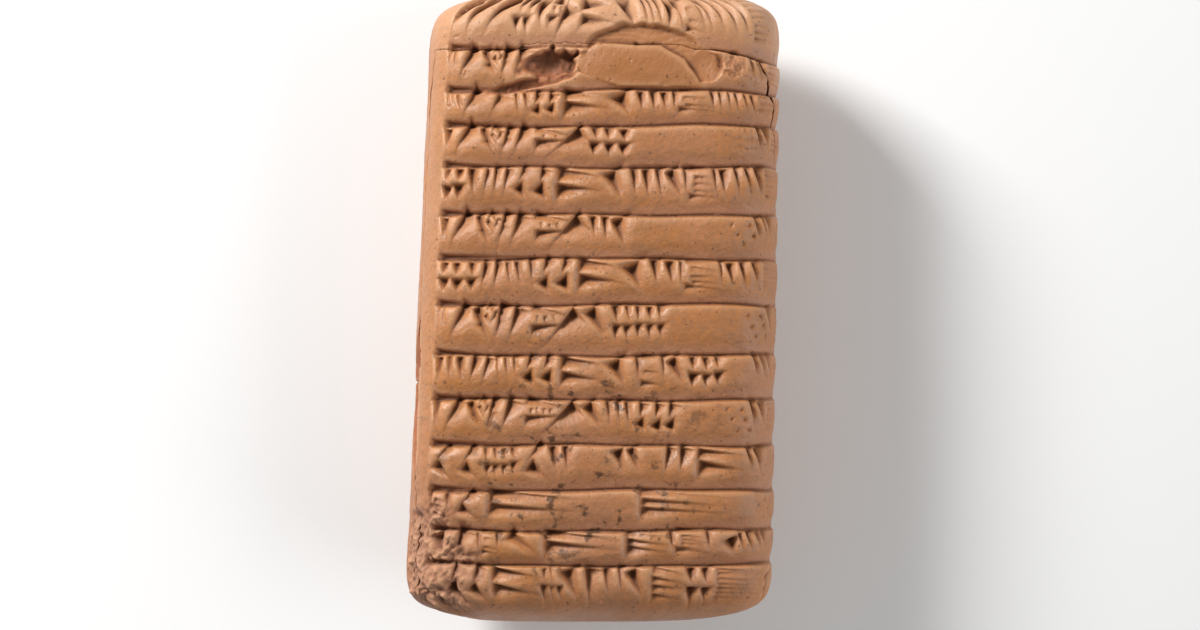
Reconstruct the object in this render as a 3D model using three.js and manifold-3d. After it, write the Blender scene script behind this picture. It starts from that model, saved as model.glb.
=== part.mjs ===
// A clay cuneiform tablet, lying on its reverse with its obverse up.
//
// Millimetres, +Z up. The head of the text is at +Y, the right-hand edge at +X. The origin is on the
// surface that the tablet lies on, under the middle of its box.
//
// The body is a cushion: at each height y it has a rounded section, flatter on the obverse than on
// the reverse, and both ends close in. Ruled lines part the rows of writing into shallow cushions.
// The tablet has broken and been rejoined, so clefts run round both edges, over the head of the
// obverse and across the reverse, and a splinter is missing from the left edge.

import * as THREE from 'three';
import { mergeVertices } from 'three/addons/utils/BufferGeometryUtils.js';
import Module from 'manifold-3d';

// ---- Driving dimensions -------------------------------------------------------------------------

// Row heights from the head to the foot. They add up to the height of the tablet on each face.
const OBVERSE_ROWS = [9.4, 6.4, 5.4, 6.2, 7.2, 6.7, 6.9, 7.6, 6.7, 6.9, 6.8, 6.1, 5.3, 9.4];
const REVERSE_ROWS = [4.1, 5.8, 5.9, 5.2, 5.2, 6.6, 6.4, 9.6, 6.0, 4.6, 6.6, 18.1, 5.0, 7.9];
const HALF_HEIGHT = sum(OBVERSE_ROWS) / 2;

const HALF_WIDTH = 27.5; // at mid height
const FOOT_WIDENING = 0.75; // added to the half width at the foot, taken off it at the head
const LEAN = 1.45; // the head leans to the right and the foot to the left by this much

// A face of the tablet: its greatest depth from the mid plane, how much of that it loses towards the
// ends and how late, and the two powers of its rounded section.
const OBVERSE = { depth: 14.2, loss: 0.14, lossPower: 2.4, widthPower: 7.5, depthPower: 2.6 };
const REVERSE = { depth: 15.4, loss: 0.38, lossPower: 2.6, widthPower: 3.0, depthPower: 2.2 };

// How sharply the ends close in: a high power keeps the body full until close to the end.
const HEAD_END = { widthPower: 30, widthRoot: 2.2, depthPower: 24, depthRoot: 3.0 };
const FOOT_END = { widthPower: 30, widthRoot: 2.2, depthPower: 16, depthRoot: 2.3 };

const REST_DEPTH = 0.25; // worn off the reverse, where the tablet lies

const RULE_DEPTH = 0.5;
const RULE_HALF_WIDTH = 0.7;
const CUSHION = 0.36; // how far a row swells between its lines
const MARGIN = -24.6; // the rows start here, to the right of a plain left margin
const WRAP_TURN = -0.15; // and run round the right-hand edge to this turn, a little past its middle

const SPALL = { x: 2.6, y: 37.4, halfWidth: 17.2, halfHeight: 4.5, depth: 1.4 };
// A smooth six-sided flake stands in the spall, nearly as high as the rows. Its left corner and the
// slant of its right side are given by how fast those sides close in.
const FLAKE = { left: -3.6, right: 15.6, top: 39.2, bottom: 33.4, height: 1.1, border: 0.9 };
const FLAKE_LEFT_SLANT = 0.6;
const FLAKE_RIGHT_SLANT = 0.5;

const FOOT_LOSS = { x: -26.5, y: -37.5, radius: 9, depth: 0.8 }; // crumbled lower left corner

// The crack behind the front slab, as heights above the mid plane. On the left edge it is lowest at
// mid height and rises to both ends. On the right edge it comes down from the head, steps down where
// the crack of the reverse meets it, and waves on to the foot.
const LEFT_CRACK = { low: 6.8, headRise: 2.2, headReach: 41, headPower: 4, footSlope: 0.035 };
const RIGHT_CRACK = { headY: 40, head: 11.6, slope: 0.215, bend: 0.0035, low: -3.65, wave: 1.25, pitch: 38 };
const RIGHT_STEP = { from: 4.6, to: 7.6 };
const CRACK_JOG = 0.2;
const CRACK_LAST_Y = -41; // nearer the foot a crack keeps to its place round the section

// The crack round the reverse, as heights along the tablet where it meets the left and right edges.
const BACK_CRACK = { left: -11.6, right: 8.8, wave: 0.9, waves: 17 };

const CLEFT_WIDTH = 0.45;
const CLEFT_DEPTH = 1.5;
const CLEFT_STEP = 1.6; // length of one step along a cleft
const CLEFT_LIFT = 1.2; // how far a cutter stands proud of the body

// Lens-shaped scoops in the left edge: the missing splinter and the chip beside it.
const SPLINTER = { y: -12.6, z: 7.1, halfLength: 12.8, halfWidth: 1.25, depth: 6.5, tilt: 0.06 };
const SPLINTER_CHIP = { y: -8.5, z: 5.3, halfLength: 9.5, halfWidth: 3.6, depth: 1.1, tilt: -0.12 };

const EDGE_TURN = 0.42; // turn at which an edge gives way to a face
const OBVERSE_STEPS = 26;
const EDGE_STEPS = 6;
const REVERSE_STEPS = 12;
const END_INSETS = [0.02, 0.12, 0.4, 1.0, 2.0, 3.6]; // rings that round each end

const CLAY = new THREE.Color('#b07a55');

// ---- Small helpers ------------------------------------------------------------------------------

function sum(values) {
  return values.reduce((total, value) => total + value, 0);
}

function mix(a, b, share) {
  return a + (b - a) * share;
}

/** Rises smoothly from 0 at `from` to 1 at `to`; the two may come in either order. */
function ease(from, to, value) {
  const t = THREE.MathUtils.clamp((value - from) / (to - from), 0, 1);
  return t * t * (3 - 2 * t);
}

/** The value raised to a power, keeping its sign. */
function signedPower(value, power) {
  return Math.sign(value) * Math.abs(value) ** power;
}

// ---- The plain body -----------------------------------------------------------------------------

function centreLine(y) {
  return LEAN * y / HALF_HEIGHT;
}

function halfWidthAt(y) {
  const reach = Math.abs(y) / HALF_HEIGHT;
  const end = y > 0 ? HEAD_END : FOOT_END;
  const closing = Math.max(1 - reach ** end.widthPower, 0) ** (1 / end.widthRoot);
  return (HALF_WIDTH - FOOT_WIDENING * y / HALF_HEIGHT) * closing;
}

function faceDepthAt(face, y) {
  const reach = Math.abs(y) / HALF_HEIGHT;
  const end = y > 0 ? HEAD_END : FOOT_END;
  const closing = Math.max(1 - reach ** end.depthPower, 0) ** (1 / end.depthRoot);
  return face.depth * (1 - face.loss * reach ** face.lossPower) * closing;
}

function faceAtTurn(turn) {
  return Math.sin(turn) >= 0 ? OBVERSE : REVERSE;
}

/** A point of the body. The turn is 0 on the right edge, a quarter on the obverse, half on the left. */
function bodyPoint(turn, y) {
  const face = faceAtTurn(turn);
  const x = halfWidthAt(y) * signedPower(Math.cos(turn), 2 / face.widthPower);
  const z = faceDepthAt(face, y) * signedPower(Math.sin(turn), 2 / face.depthPower);
  return new THREE.Vector3(centreLine(y) + x, y, z);
}

/** The direction that faces out of the body, square to it. */
function outward(turn, y) {
  const nudge = 0.002;
  const inner = Math.max(-HALF_HEIGHT * 0.995, Math.min(HALF_HEIGHT * 0.995, y));
  const across = bodyPoint(turn + nudge, inner).sub(bodyPoint(turn - nudge, inner));
  const up = bodyPoint(turn, inner + nudge).sub(bodyPoint(turn, inner - nudge));
  return up.cross(across).normalize();
}

/** The turn at which one edge of the section stands z above the mid plane. */
function turnAtHeight(z, y, side) {
  const face = z >= 0 ? OBVERSE : REVERSE;
  const share = Math.min(Math.abs(z) / faceDepthAt(face, y), 1);
  const rise = Math.sign(z) * Math.asin(share ** (face.depthPower / 2));
  return side > 0 ? rise : Math.PI - rise;
}

// ---- Rows, lines and losses ---------------------------------------------------------------------

/** Heights of the lines between rows, head first. */
function lineHeights(rows) {
  let y = HALF_HEIGHT;
  return rows.slice(0, -1).map((height) => (y -= height));
}

const OBVERSE_LINES = lineHeights(OBVERSE_ROWS);
const REVERSE_LINES = lineHeights(REVERSE_ROWS);

/** How far a row stands up (or a line goes down) at y. */
function rowRelief(lines, y) {
  const bounds = [HALF_HEIGHT, ...lines, -HALF_HEIGHT];
  const row = Math.max(1, bounds.findIndex((bound) => bound <= y));
  const [top, bottom] = [bounds[row - 1], bounds[row]];
  const across = (2 * y - top - bottom) / (top - bottom);
  const gap = Math.min(...lines.map((line) => Math.abs(line - y)));
  const groove = Math.max(0, 1 - gap / RULE_HALF_WIDTH);
  return CUSHION * (1 - across ** 4) - RULE_DEPTH * groove;
}

/** Height of the obverse over its plain body, from the rows, the spall and the flake left in it. */
function obverseRelief(x, y, turn) {
  const written = ease(MARGIN - 0.8, MARGIN + 0.4, x) * ease(WRAP_TURN, WRAP_TURN + 0.35, Math.sin(turn));
  const reach = Math.hypot((x - SPALL.x) / SPALL.halfWidth, (y - SPALL.y) / SPALL.halfHeight);
  const spalled = Math.sin(turn) > 0 ? ease(1.08, 0.8, reach) : 0;
  const flake = FLAKE.height * ease(0, FLAKE.border, flakeInset(x, y));
  return mix(written * rowRelief(OBVERSE_LINES, y), flake - SPALL.depth, spalled);
}

/** Distance inside the six-sided flake, negative outside it. */
function flakeInset(x, y) {
  const middle = (FLAKE.top + FLAKE.bottom) / 2;
  const left = x - FLAKE.left - FLAKE_LEFT_SLANT * Math.abs(y - middle);
  const right = FLAKE.right - x + FLAKE_RIGHT_SLANT * (FLAKE.bottom - y);
  return Math.min(FLAKE.top - y, y - FLAKE.bottom, left, right);
}

function footLoss(x, y) {
  const reach = Math.hypot(x - FOOT_LOSS.x, y - FOOT_LOSS.y) / FOOT_LOSS.radius;
  const rough = 0.75 + 0.25 * Math.sin(1.9 * x + 0.8 * y) * Math.sin(1.3 * y - 0.6 * x);
  return FOOT_LOSS.depth * rough * ease(1, 0.3, reach);
}

/** A point of the worked surface. */
function surfacePoint(turn, y) {
  const point = bodyPoint(turn, y);
  const onReverse = ease(-0.3, -0.65, Math.sin(turn));
  const reverseLines = Math.min(0, rowRelief(REVERSE_LINES, y) - CUSHION) * onReverse;
  const raised = obverseRelief(point.x, y, turn) + reverseLines - footLoss(point.x, y);
  const fade = ease(HALF_HEIGHT, HALF_HEIGHT - 3, Math.abs(y));
  point.addScaledVector(outward(turn, y), raised * fade);
  point.z = Math.max(point.z, REST_DEPTH - REVERSE.depth);
  return point;
}

// ---- The solid ----------------------------------------------------------------------------------

/** Turns at even steps of length along a stretch of the mid section. */
function evenTurns(from, to, steps) {
  const fine = 400;
  const turns = Array.from({ length: fine + 1 }, (_, i) => mix(from, to, i / fine));
  const lengths = [0];
  for (let i = 1; i <= fine; i += 1) {
    const stretch = bodyPoint(turns[i], 0).distanceTo(bodyPoint(turns[i - 1], 0));
    lengths.push(lengths[i - 1] + stretch);
  }
  const picked = [];
  for (let step = 0; step < steps; step += 1) {
    const target = lengths[fine] * step / steps;
    picked.push(turns[lengths.findIndex((length) => length >= target)]);
  }
  return picked;
}

/** Heights of the rings, head first: the rounded ends, then four rings for each row. */
function ringHeights(rows) {
  const lines = lineHeights(rows);
  const head = END_INSETS.map((inset) => HALF_HEIGHT - inset);
  const foot = END_INSETS.map((inset) => inset - HALF_HEIGHT).reverse();
  const middle = lines.flatMap((line, i) => {
    const ring = [line + RULE_HALF_WIDTH, line, line - RULE_HALF_WIDTH];
    return i + 1 < lines.length ? [...ring, (line + lines[i + 1]) / 2] : ring;
  });
  return [...head, ...middle, ...foot].sort((a, b) => b - a);
}

function closedGeometry(positions, triangles) {
  const geometry = new THREE.BufferGeometry();
  geometry.setAttribute('position', new THREE.Float32BufferAttribute(positions, 3));
  geometry.setIndex(triangles);
  return geometry;
}

/** The whole tablet as rings from head to foot, closed by a fan at each end. */
function bodyGeometry() {
  const turns = [
    ...evenTurns(-EDGE_TURN, EDGE_TURN, EDGE_STEPS),
    ...evenTurns(EDGE_TURN, Math.PI - EDGE_TURN, OBVERSE_STEPS),
    ...evenTurns(Math.PI - EDGE_TURN, Math.PI + EDGE_TURN, EDGE_STEPS),
    ...evenTurns(Math.PI + EDGE_TURN, 2 * Math.PI - EDGE_TURN, REVERSE_STEPS),
  ];
  const front = ringHeights(OBVERSE_ROWS);
  const back = ringHeights(REVERSE_ROWS);
  const around = turns.length;
  const positions = [];
  front.forEach((frontY, ring) => {
    for (const turn of turns) {
      const y = mix(frontY, back[ring], ease(0.1, -0.5, Math.sin(turn)));
      positions.push(...surfacePoint(turn, y).toArray());
    }
  });
  positions.push(centreLine(HALF_HEIGHT), HALF_HEIGHT, 0);
  positions.push(centreLine(-HALF_HEIGHT), -HALF_HEIGHT, 0);
  const headPole = front.length * around;
  const footPole = headPole + 1;
  const lastRing = (front.length - 1) * around;
  const triangles = [];
  for (let step = 0; step < around; step += 1) {
    const next = (step + 1) % around;
    triangles.push(headPole, next, step, footPole, lastRing + step, lastRing + next);
    for (let ring = 0; ring + 1 < front.length; ring += 1) {
      const [a, b] = [ring * around + step, ring * around + next];
      triangles.push(a, b, a + around, b, b + around, a + around);
    }
  }
  return closedGeometry(positions, triangles);
}

// ---- Cracks -------------------------------------------------------------------------------------

/** Height of the front crack on the left edge. */
function leftCrackHeight(y) {
  const { low, headRise, headReach, headPower, footSlope } = LEFT_CRACK;
  const rise = y > 0 ? headRise * (y / headReach) ** headPower : -footSlope * y;
  return low + rise + CRACK_JOG * (Math.sin(0.55 * y) + 0.6 * Math.sin(1.7 * y));
}

/** Height of the front crack on the right edge: steep down from the head, then low and wavy. */
function rightCrackHeight(y) {
  const { headY, head, slope, bend, low, wave, pitch } = RIGHT_CRACK;
  const below = headY - y;
  const upper = head - slope * below - bend * below ** 2;
  const lower = low - wave * Math.cos(2 * Math.PI * y / pitch);
  return mix(lower, upper, ease(RIGHT_STEP.from, RIGHT_STEP.to, y)) + CRACK_JOG * Math.sin(1.4 * y);
}

/** Height along the tablet of the crack that runs round the reverse, by the turn. */
function backCrackY(turn) {
  const share = (turn - Math.PI) / Math.PI;
  const wave = BACK_CRACK.wave * Math.sin(BACK_CRACK.waves * share) * Math.sin(Math.PI * share);
  return mix(BACK_CRACK.left, BACK_CRACK.right, ease(0.1, 0.9, share)) + wave;
}

/** A route along one edge, at the height that the crack has at each y. */
function edgeRoute(side, fromY, toY, heightAt) {
  const steps = Math.ceil(Math.abs(toY - fromY) / CLEFT_STEP);
  return Array.from({ length: steps + 1 }, (_, i) => {
    const y = mix(fromY, toY, i / steps);
    const inner = Math.max(y, CRACK_LAST_Y);
    return { turn: turnAtHeight(heightAt(inner), inner, side), y };
  });
}

function roundRoute(fromTurn, toTurn, yAt, steps) {
  return Array.from({ length: steps + 1 }, (_, i) => {
    const turn = mix(fromTurn, toTurn, i / steps);
    return { turn, y: yAt(turn) };
  });
}

/** A wedge-shaped blade that stands on a route over the body, tip inwards. */
function cleftGeometry(route) {
  const points = route.map(({ turn, y }) => bodyPoint(turn, y));
  const positions = [];
  route.forEach(({ turn, y }, i) => {
    const out = outward(turn, y);
    const ahead = points[Math.min(i + 1, points.length - 1)];
    const behind = points[Math.max(i - 1, 0)];
    const sideways = ahead.clone().sub(behind).cross(out).normalize();
    const taper = i === 0 || i === route.length - 1 ? 0.25 : 1;
    const flare = 0.5 * CLEFT_WIDTH * taper * (1 + CLEFT_LIFT / CLEFT_DEPTH);
    const top = points[i].clone().addScaledVector(out, CLEFT_LIFT);
    positions.push(...top.clone().addScaledVector(sideways, flare).toArray());
    positions.push(...top.clone().addScaledVector(sideways, -flare).toArray());
    positions.push(...points[i].clone().addScaledVector(out, -CLEFT_DEPTH * taper).toArray());
  });
  const triangles = [0, 1, 2];
  for (let i = 0; i + 1 < route.length; i += 1) {
    for (let corner = 0; corner < 3; corner += 1) {
      const a = 3 * i + corner;
      const b = 3 * i + (corner + 1) % 3;
      triangles.push(a, a + 3, b, b, a + 3, b + 3);
    }
  }
  const last = 3 * (route.length - 1);
  triangles.push(last, last + 2, last + 1);
  return closedGeometry(positions, triangles);
}

/** A lens-shaped scoop in the left edge. */
function scoopGeometry({ y, z, halfLength, halfWidth, depth, tilt }) {
  const turn = turnAtHeight(z, y, -1);
  const geometry = new THREE.SphereGeometry(1, 16, 14);
  geometry.scale(depth, halfLength, halfWidth);
  geometry.rotateX(tilt);
  const place = bodyPoint(turn, y);
  return geometry.translate(place.x, place.y, place.z);
}

function crackRoutes() {
  const mouth = SPLINTER.y + SPLINTER.halfLength;
  const tail = SPLINTER.y - SPLINTER.halfLength;
  const footY = -HALF_HEIGHT + 1.2;
  const headLine = OBVERSE_LINES[0];
  return [
    edgeRoute(-1, headLine - 0.3, mouth - 0.5, leftCrackHeight),
    edgeRoute(-1, tail + 0.5, footY, leftCrackHeight),
    edgeRoute(1, headLine - 0.8, footY, rightCrackHeight),
    roundRoute(0.62, Math.PI - 0.62, () => headLine - 0.1, 30),
    roundRoute(Math.PI - 0.12, 2 * Math.PI - 0.2, backCrackY, 44),
  ];
}

// ---- Joining and cutting ------------------------------------------------------------------------

const wasm = await Module();
wasm.setup();

function toSolid(geometry) {
  const bare = geometry.clone();
  bare.deleteAttribute('normal');
  bare.deleteAttribute('uv');
  const merged = mergeVertices(bare, 1e-5);
  const vertProperties = new Float32Array(merged.attributes.position.array);
  const triVerts = new Uint32Array(merged.index.array);
  return new wasm.Manifold(new wasm.Mesh({ numProp: 3, vertProperties, triVerts }));
}

function toGeometry(solid) {
  const { vertProperties, triVerts } = solid.getMesh();
  return closedGeometry(Array.from(vertProperties), Array.from(triVerts));
}

function tabletGeometry() {
  let solid = toSolid(bodyGeometry());
  for (const scoop of [SPLINTER, SPLINTER_CHIP]) {
    solid = solid.subtract(toSolid(scoopGeometry(scoop)));
  }
  for (const route of crackRoutes()) {
    solid = solid.subtract(toSolid(cleftGeometry(route)));
  }
  const geometry = toGeometry(solid);
  geometry.computeBoundingBox();
  const { min, max } = geometry.boundingBox;
  return geometry.translate(-(min.x + max.x) / 2, -(min.y + max.y) / 2, -min.z);
}

// ---- The scene graph ----------------------------------------------------------------------------

const clay = new THREE.MeshStandardMaterial({ color: CLAY, roughness: 0.72, metalness: 0 });
const tablet = new THREE.Mesh(tabletGeometry(), clay);
tablet.name = 'tablet';

const object = new THREE.Group();
object.add(tablet);

export default object;
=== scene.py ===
"""A fired clay tablet with ruled rows of pressed strokes, lying on its reverse.

The tablet is broken into three fragments that fit together again: the upper back, which also holds
the head of the obverse, the front slab, and the lower back. Open cracks part them.

Shapes are worked out in millimetres about the mid plane of the tablet and become metres when a mesh
is made. A place on the clay has two coordinates: the run, a length measured round the section from
the middle of the obverse towards the right-hand edge, and y, the height towards the head.
"""

import logging
from dataclasses import dataclass, field
from enum import Enum, auto
from functools import cached_property
from typing import Any

import bpy
import numpy as np
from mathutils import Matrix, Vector


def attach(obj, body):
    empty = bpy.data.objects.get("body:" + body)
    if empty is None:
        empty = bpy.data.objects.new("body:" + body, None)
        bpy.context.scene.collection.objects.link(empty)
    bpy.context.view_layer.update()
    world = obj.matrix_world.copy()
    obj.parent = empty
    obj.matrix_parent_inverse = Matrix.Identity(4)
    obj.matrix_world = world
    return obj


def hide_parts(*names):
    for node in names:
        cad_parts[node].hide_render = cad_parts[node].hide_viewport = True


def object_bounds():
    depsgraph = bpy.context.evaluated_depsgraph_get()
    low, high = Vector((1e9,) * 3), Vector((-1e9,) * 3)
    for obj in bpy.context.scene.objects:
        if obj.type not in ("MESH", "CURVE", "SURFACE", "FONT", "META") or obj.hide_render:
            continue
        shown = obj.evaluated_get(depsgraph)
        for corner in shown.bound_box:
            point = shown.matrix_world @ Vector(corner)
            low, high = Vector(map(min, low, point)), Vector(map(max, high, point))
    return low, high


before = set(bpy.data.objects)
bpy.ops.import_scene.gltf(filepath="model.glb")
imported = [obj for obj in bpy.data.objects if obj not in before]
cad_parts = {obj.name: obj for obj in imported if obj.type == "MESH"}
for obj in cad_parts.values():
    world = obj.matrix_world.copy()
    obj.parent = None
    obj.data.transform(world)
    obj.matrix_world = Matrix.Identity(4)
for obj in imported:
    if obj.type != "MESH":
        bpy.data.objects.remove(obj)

CAD_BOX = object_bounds()

MM = 0.001
NODE = "tablet"
BODY = "root"

Array = np.ndarray
log = logging.getLogger("tablet")


# ---- Small helpers ----


def ease(start: float, end: float, value: Array) -> Array:
    """Rise smoothly from 0 at start to 1 at end; the two may come in either order."""
    t = np.clip((value - start) / (end - start), 0.0, 1.0)
    return t * t * (3.0 - 2.0 * t)


def mix(a: Array, b: Array, share: Array) -> Array:
    """Go straight from a to b."""
    return a + (b - a) * share


def soft_max(a: Array, b: Array, softness: float) -> Array:
    """The greater of two heights, with a parabola over the crease where they nearly meet."""
    overlap = np.maximum(softness - np.abs(a - b), 0.0)
    return np.maximum(a, b) + overlap**2 / (4.0 * softness)


def unit(vectors: Array) -> Array:
    """Scale vectors to length one."""
    return vectors / np.maximum(np.linalg.norm(vectors, axis=-1, keepdims=True), 1e-12)


# ---- The plain body ----


@dataclass(frozen=True)
class Face:
    """One face of the tablet.

    Attributes:
        depth: Greatest depth from the mid plane.
        loss: Share of the depth that is lost towards the ends.
        loss_power: How late it is lost.
        width_power: Power of the section along x.
        depth_power: Power of the section along z.
    """

    depth: float
    loss: float
    loss_power: float
    width_power: float
    depth_power: float


@dataclass(frozen=True)
class End:
    """How sharply an end closes in: a high power keeps the body full until close to the end."""

    width_power: float
    width_root: float
    depth_power: float
    depth_root: float


SECTION_POINTS = 4001
RUN_NUDGE = 0.03
END_NUDGE = 0.01


@dataclass(frozen=True)
class Body:
    """The cushion-shaped body before anything is pressed into it.

    Attributes:
        half_height: From the middle to the head and to the foot.
        mid_half_width: Half the width at mid height.
        foot_widening: How much the half width grows from the middle to the foot.
        lean: How far the middle line has gone to the right at the head.
        rest_depth: Depth of the small flat on which it lies.
        obverse: The written front.
        reverse: The fuller back.
        head: How the head closes in.
        foot: How the foot closes in.
    """

    half_height: float = 48.5
    mid_half_width: float = 27.5
    foot_widening: float = 0.75
    lean: float = 1.45
    rest_depth: float = 15.15
    obverse: Face = Face(14.2, 0.14, 2.4, 7.5, 2.6)
    reverse: Face = Face(15.4, 0.38, 2.6, 3.0, 2.2)
    head: End = End(30.0, 2.2, 24.0, 3.0)
    foot: End = End(30.0, 2.2, 16.0, 2.3)

    @cached_property
    def section(self) -> dict[str, Array]:
        """Half of the mid section, from the middle of the obverse round the right edge.

        Each quarter is a superellipse: x is the sine and z the cosine of a swing angle, each
        raised to two over its power. The run is the length along it. The swing is crowded
        towards both its ends, where the powers make the points part fastest.

        Returns:
            Columns by name: the run, x and z as shares of the half sizes, and the turn.
        """
        step = np.linspace(0.0, 1.0, SECTION_POINTS)
        swing = 0.5 * np.pi * step**3 / (step**3 + (1.0 - step) ** 3)
        unit_x, unit_z, turn, x, z = [], [], [], [], []
        for face, way in ((self.obverse, 1), (self.reverse, -1)):
            across = np.sin(swing) ** (2.0 / face.width_power)
            up = way * np.cos(swing) ** (2.0 / face.depth_power)
            order = slice(None) if way > 0 else slice(-2, None, -1)
            unit_x.append(across[order])
            unit_z.append(up[order])
            turn.append(way * (0.5 * np.pi - swing)[order])
            x.append(self.mid_half_width * across[order])
            z.append(face.depth * up[order])
        x, z = np.concatenate(x), np.concatenate(z)
        run = np.concatenate([[0.0], np.cumsum(np.hypot(np.diff(x), np.diff(z)))])
        table = {"run": run, "x": np.concatenate(unit_x), "z": np.concatenate(unit_z)}
        return table | {"turn": np.concatenate(turn)}

    @cached_property
    def girth(self) -> float:
        """Length once round the mid section."""
        return 2.0 * float(self.section["run"][-1])

    def wrapped(self, run: Array) -> Array:
        """The run measured the shorter way round from the middle of the obverse."""
        return (run + 0.5 * self.girth) % self.girth - 0.5 * self.girth

    def look_up(self, run: Array, column: str) -> Array:
        """Read a column of the section table at a run, on whichever side it is."""
        return np.interp(np.abs(self.wrapped(run)), self.section["run"], self.section[column])

    def centre(self, y: Array) -> Array:
        """The x of the middle of the section, which leans to the right at the head."""
        return self.lean * y / self.half_height

    def reach(self, y: Array) -> Array:
        """How far towards an end each height is, as a share."""
        return np.abs(y) / self.half_height

    def half_width(self, y: Array) -> Array:
        """Half the width, closing in at the ends as a root of one less a high power.

        Args:
            y: Heights.

        Returns:
            Half widths.
        """
        power = np.where(y > 0, self.head.width_power, self.foot.width_power)
        root = np.where(y > 0, self.head.width_root, self.foot.width_root)
        closing = np.maximum(1.0 - self.reach(y) ** power, 0.0) ** (1.0 / root)
        return (self.mid_half_width - self.foot_widening * y / self.half_height) * closing

    def depth(self, y: Array, front: Array) -> Array:
        """Depth from the mid plane, which falls off to the ends and closes in there.

        Args:
            y: Heights.
            front: Whether each place is on the obverse.

        Returns:
            Depths of the obverse or of the reverse.
        """
        reach = self.reach(y)
        power = np.where(y > 0, self.head.depth_power, self.foot.depth_power)
        root = np.where(y > 0, self.head.depth_root, self.foot.depth_root)
        closing = np.maximum(1.0 - reach**power, 0.0) ** (1.0 / root)
        obverse, reverse = (
            face.depth * (1.0 - face.loss * reach**face.loss_power)
            for face in (self.obverse, self.reverse)
        )
        return np.where(front, obverse, reverse) * closing

    def place(self, run: Array, y: Array) -> Array:
        """Points of the plain body: the unit section scaled by the half width and the depth.

        Args:
            run: Runs.
            y: Heights.

        Returns:
            Points, in millimetres.
        """
        unit_z = self.look_up(run, "z")
        unit_x = np.sign(self.wrapped(run)) * self.look_up(run, "x")
        x = self.centre(y) + self.half_width(y) * unit_x
        z = self.depth(y, unit_z >= 0.0) * unit_z
        return np.stack(np.broadcast_arrays(x, y, z), axis=-1)

    def outward(self, run: Array, y: Array) -> Array:
        """Directions square to the plain body: the cross product of small steps along it.

        Args:
            run: Runs.
            y: Heights.

        Returns:
            Directions of length one.
        """
        nudge = np.maximum(END_NUDGE * (self.half_height - np.abs(y)), 1e-6)
        across = self.place(run + RUN_NUDGE, y) - self.place(run - RUN_NUDGE, y)
        along = self.place(run, y + nudge) - self.place(run, y - nudge)
        return unit(np.cross(across, along))

    def run_at_height(self, z: Array, y: Array) -> Array:
        """The run on the right-hand side at which the section stands z above the mid plane."""
        level = z / self.depth(y, z >= 0.0)
        return np.interp(-level, -self.section["z"], self.section["run"])


# ---- The cracks ----


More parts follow.
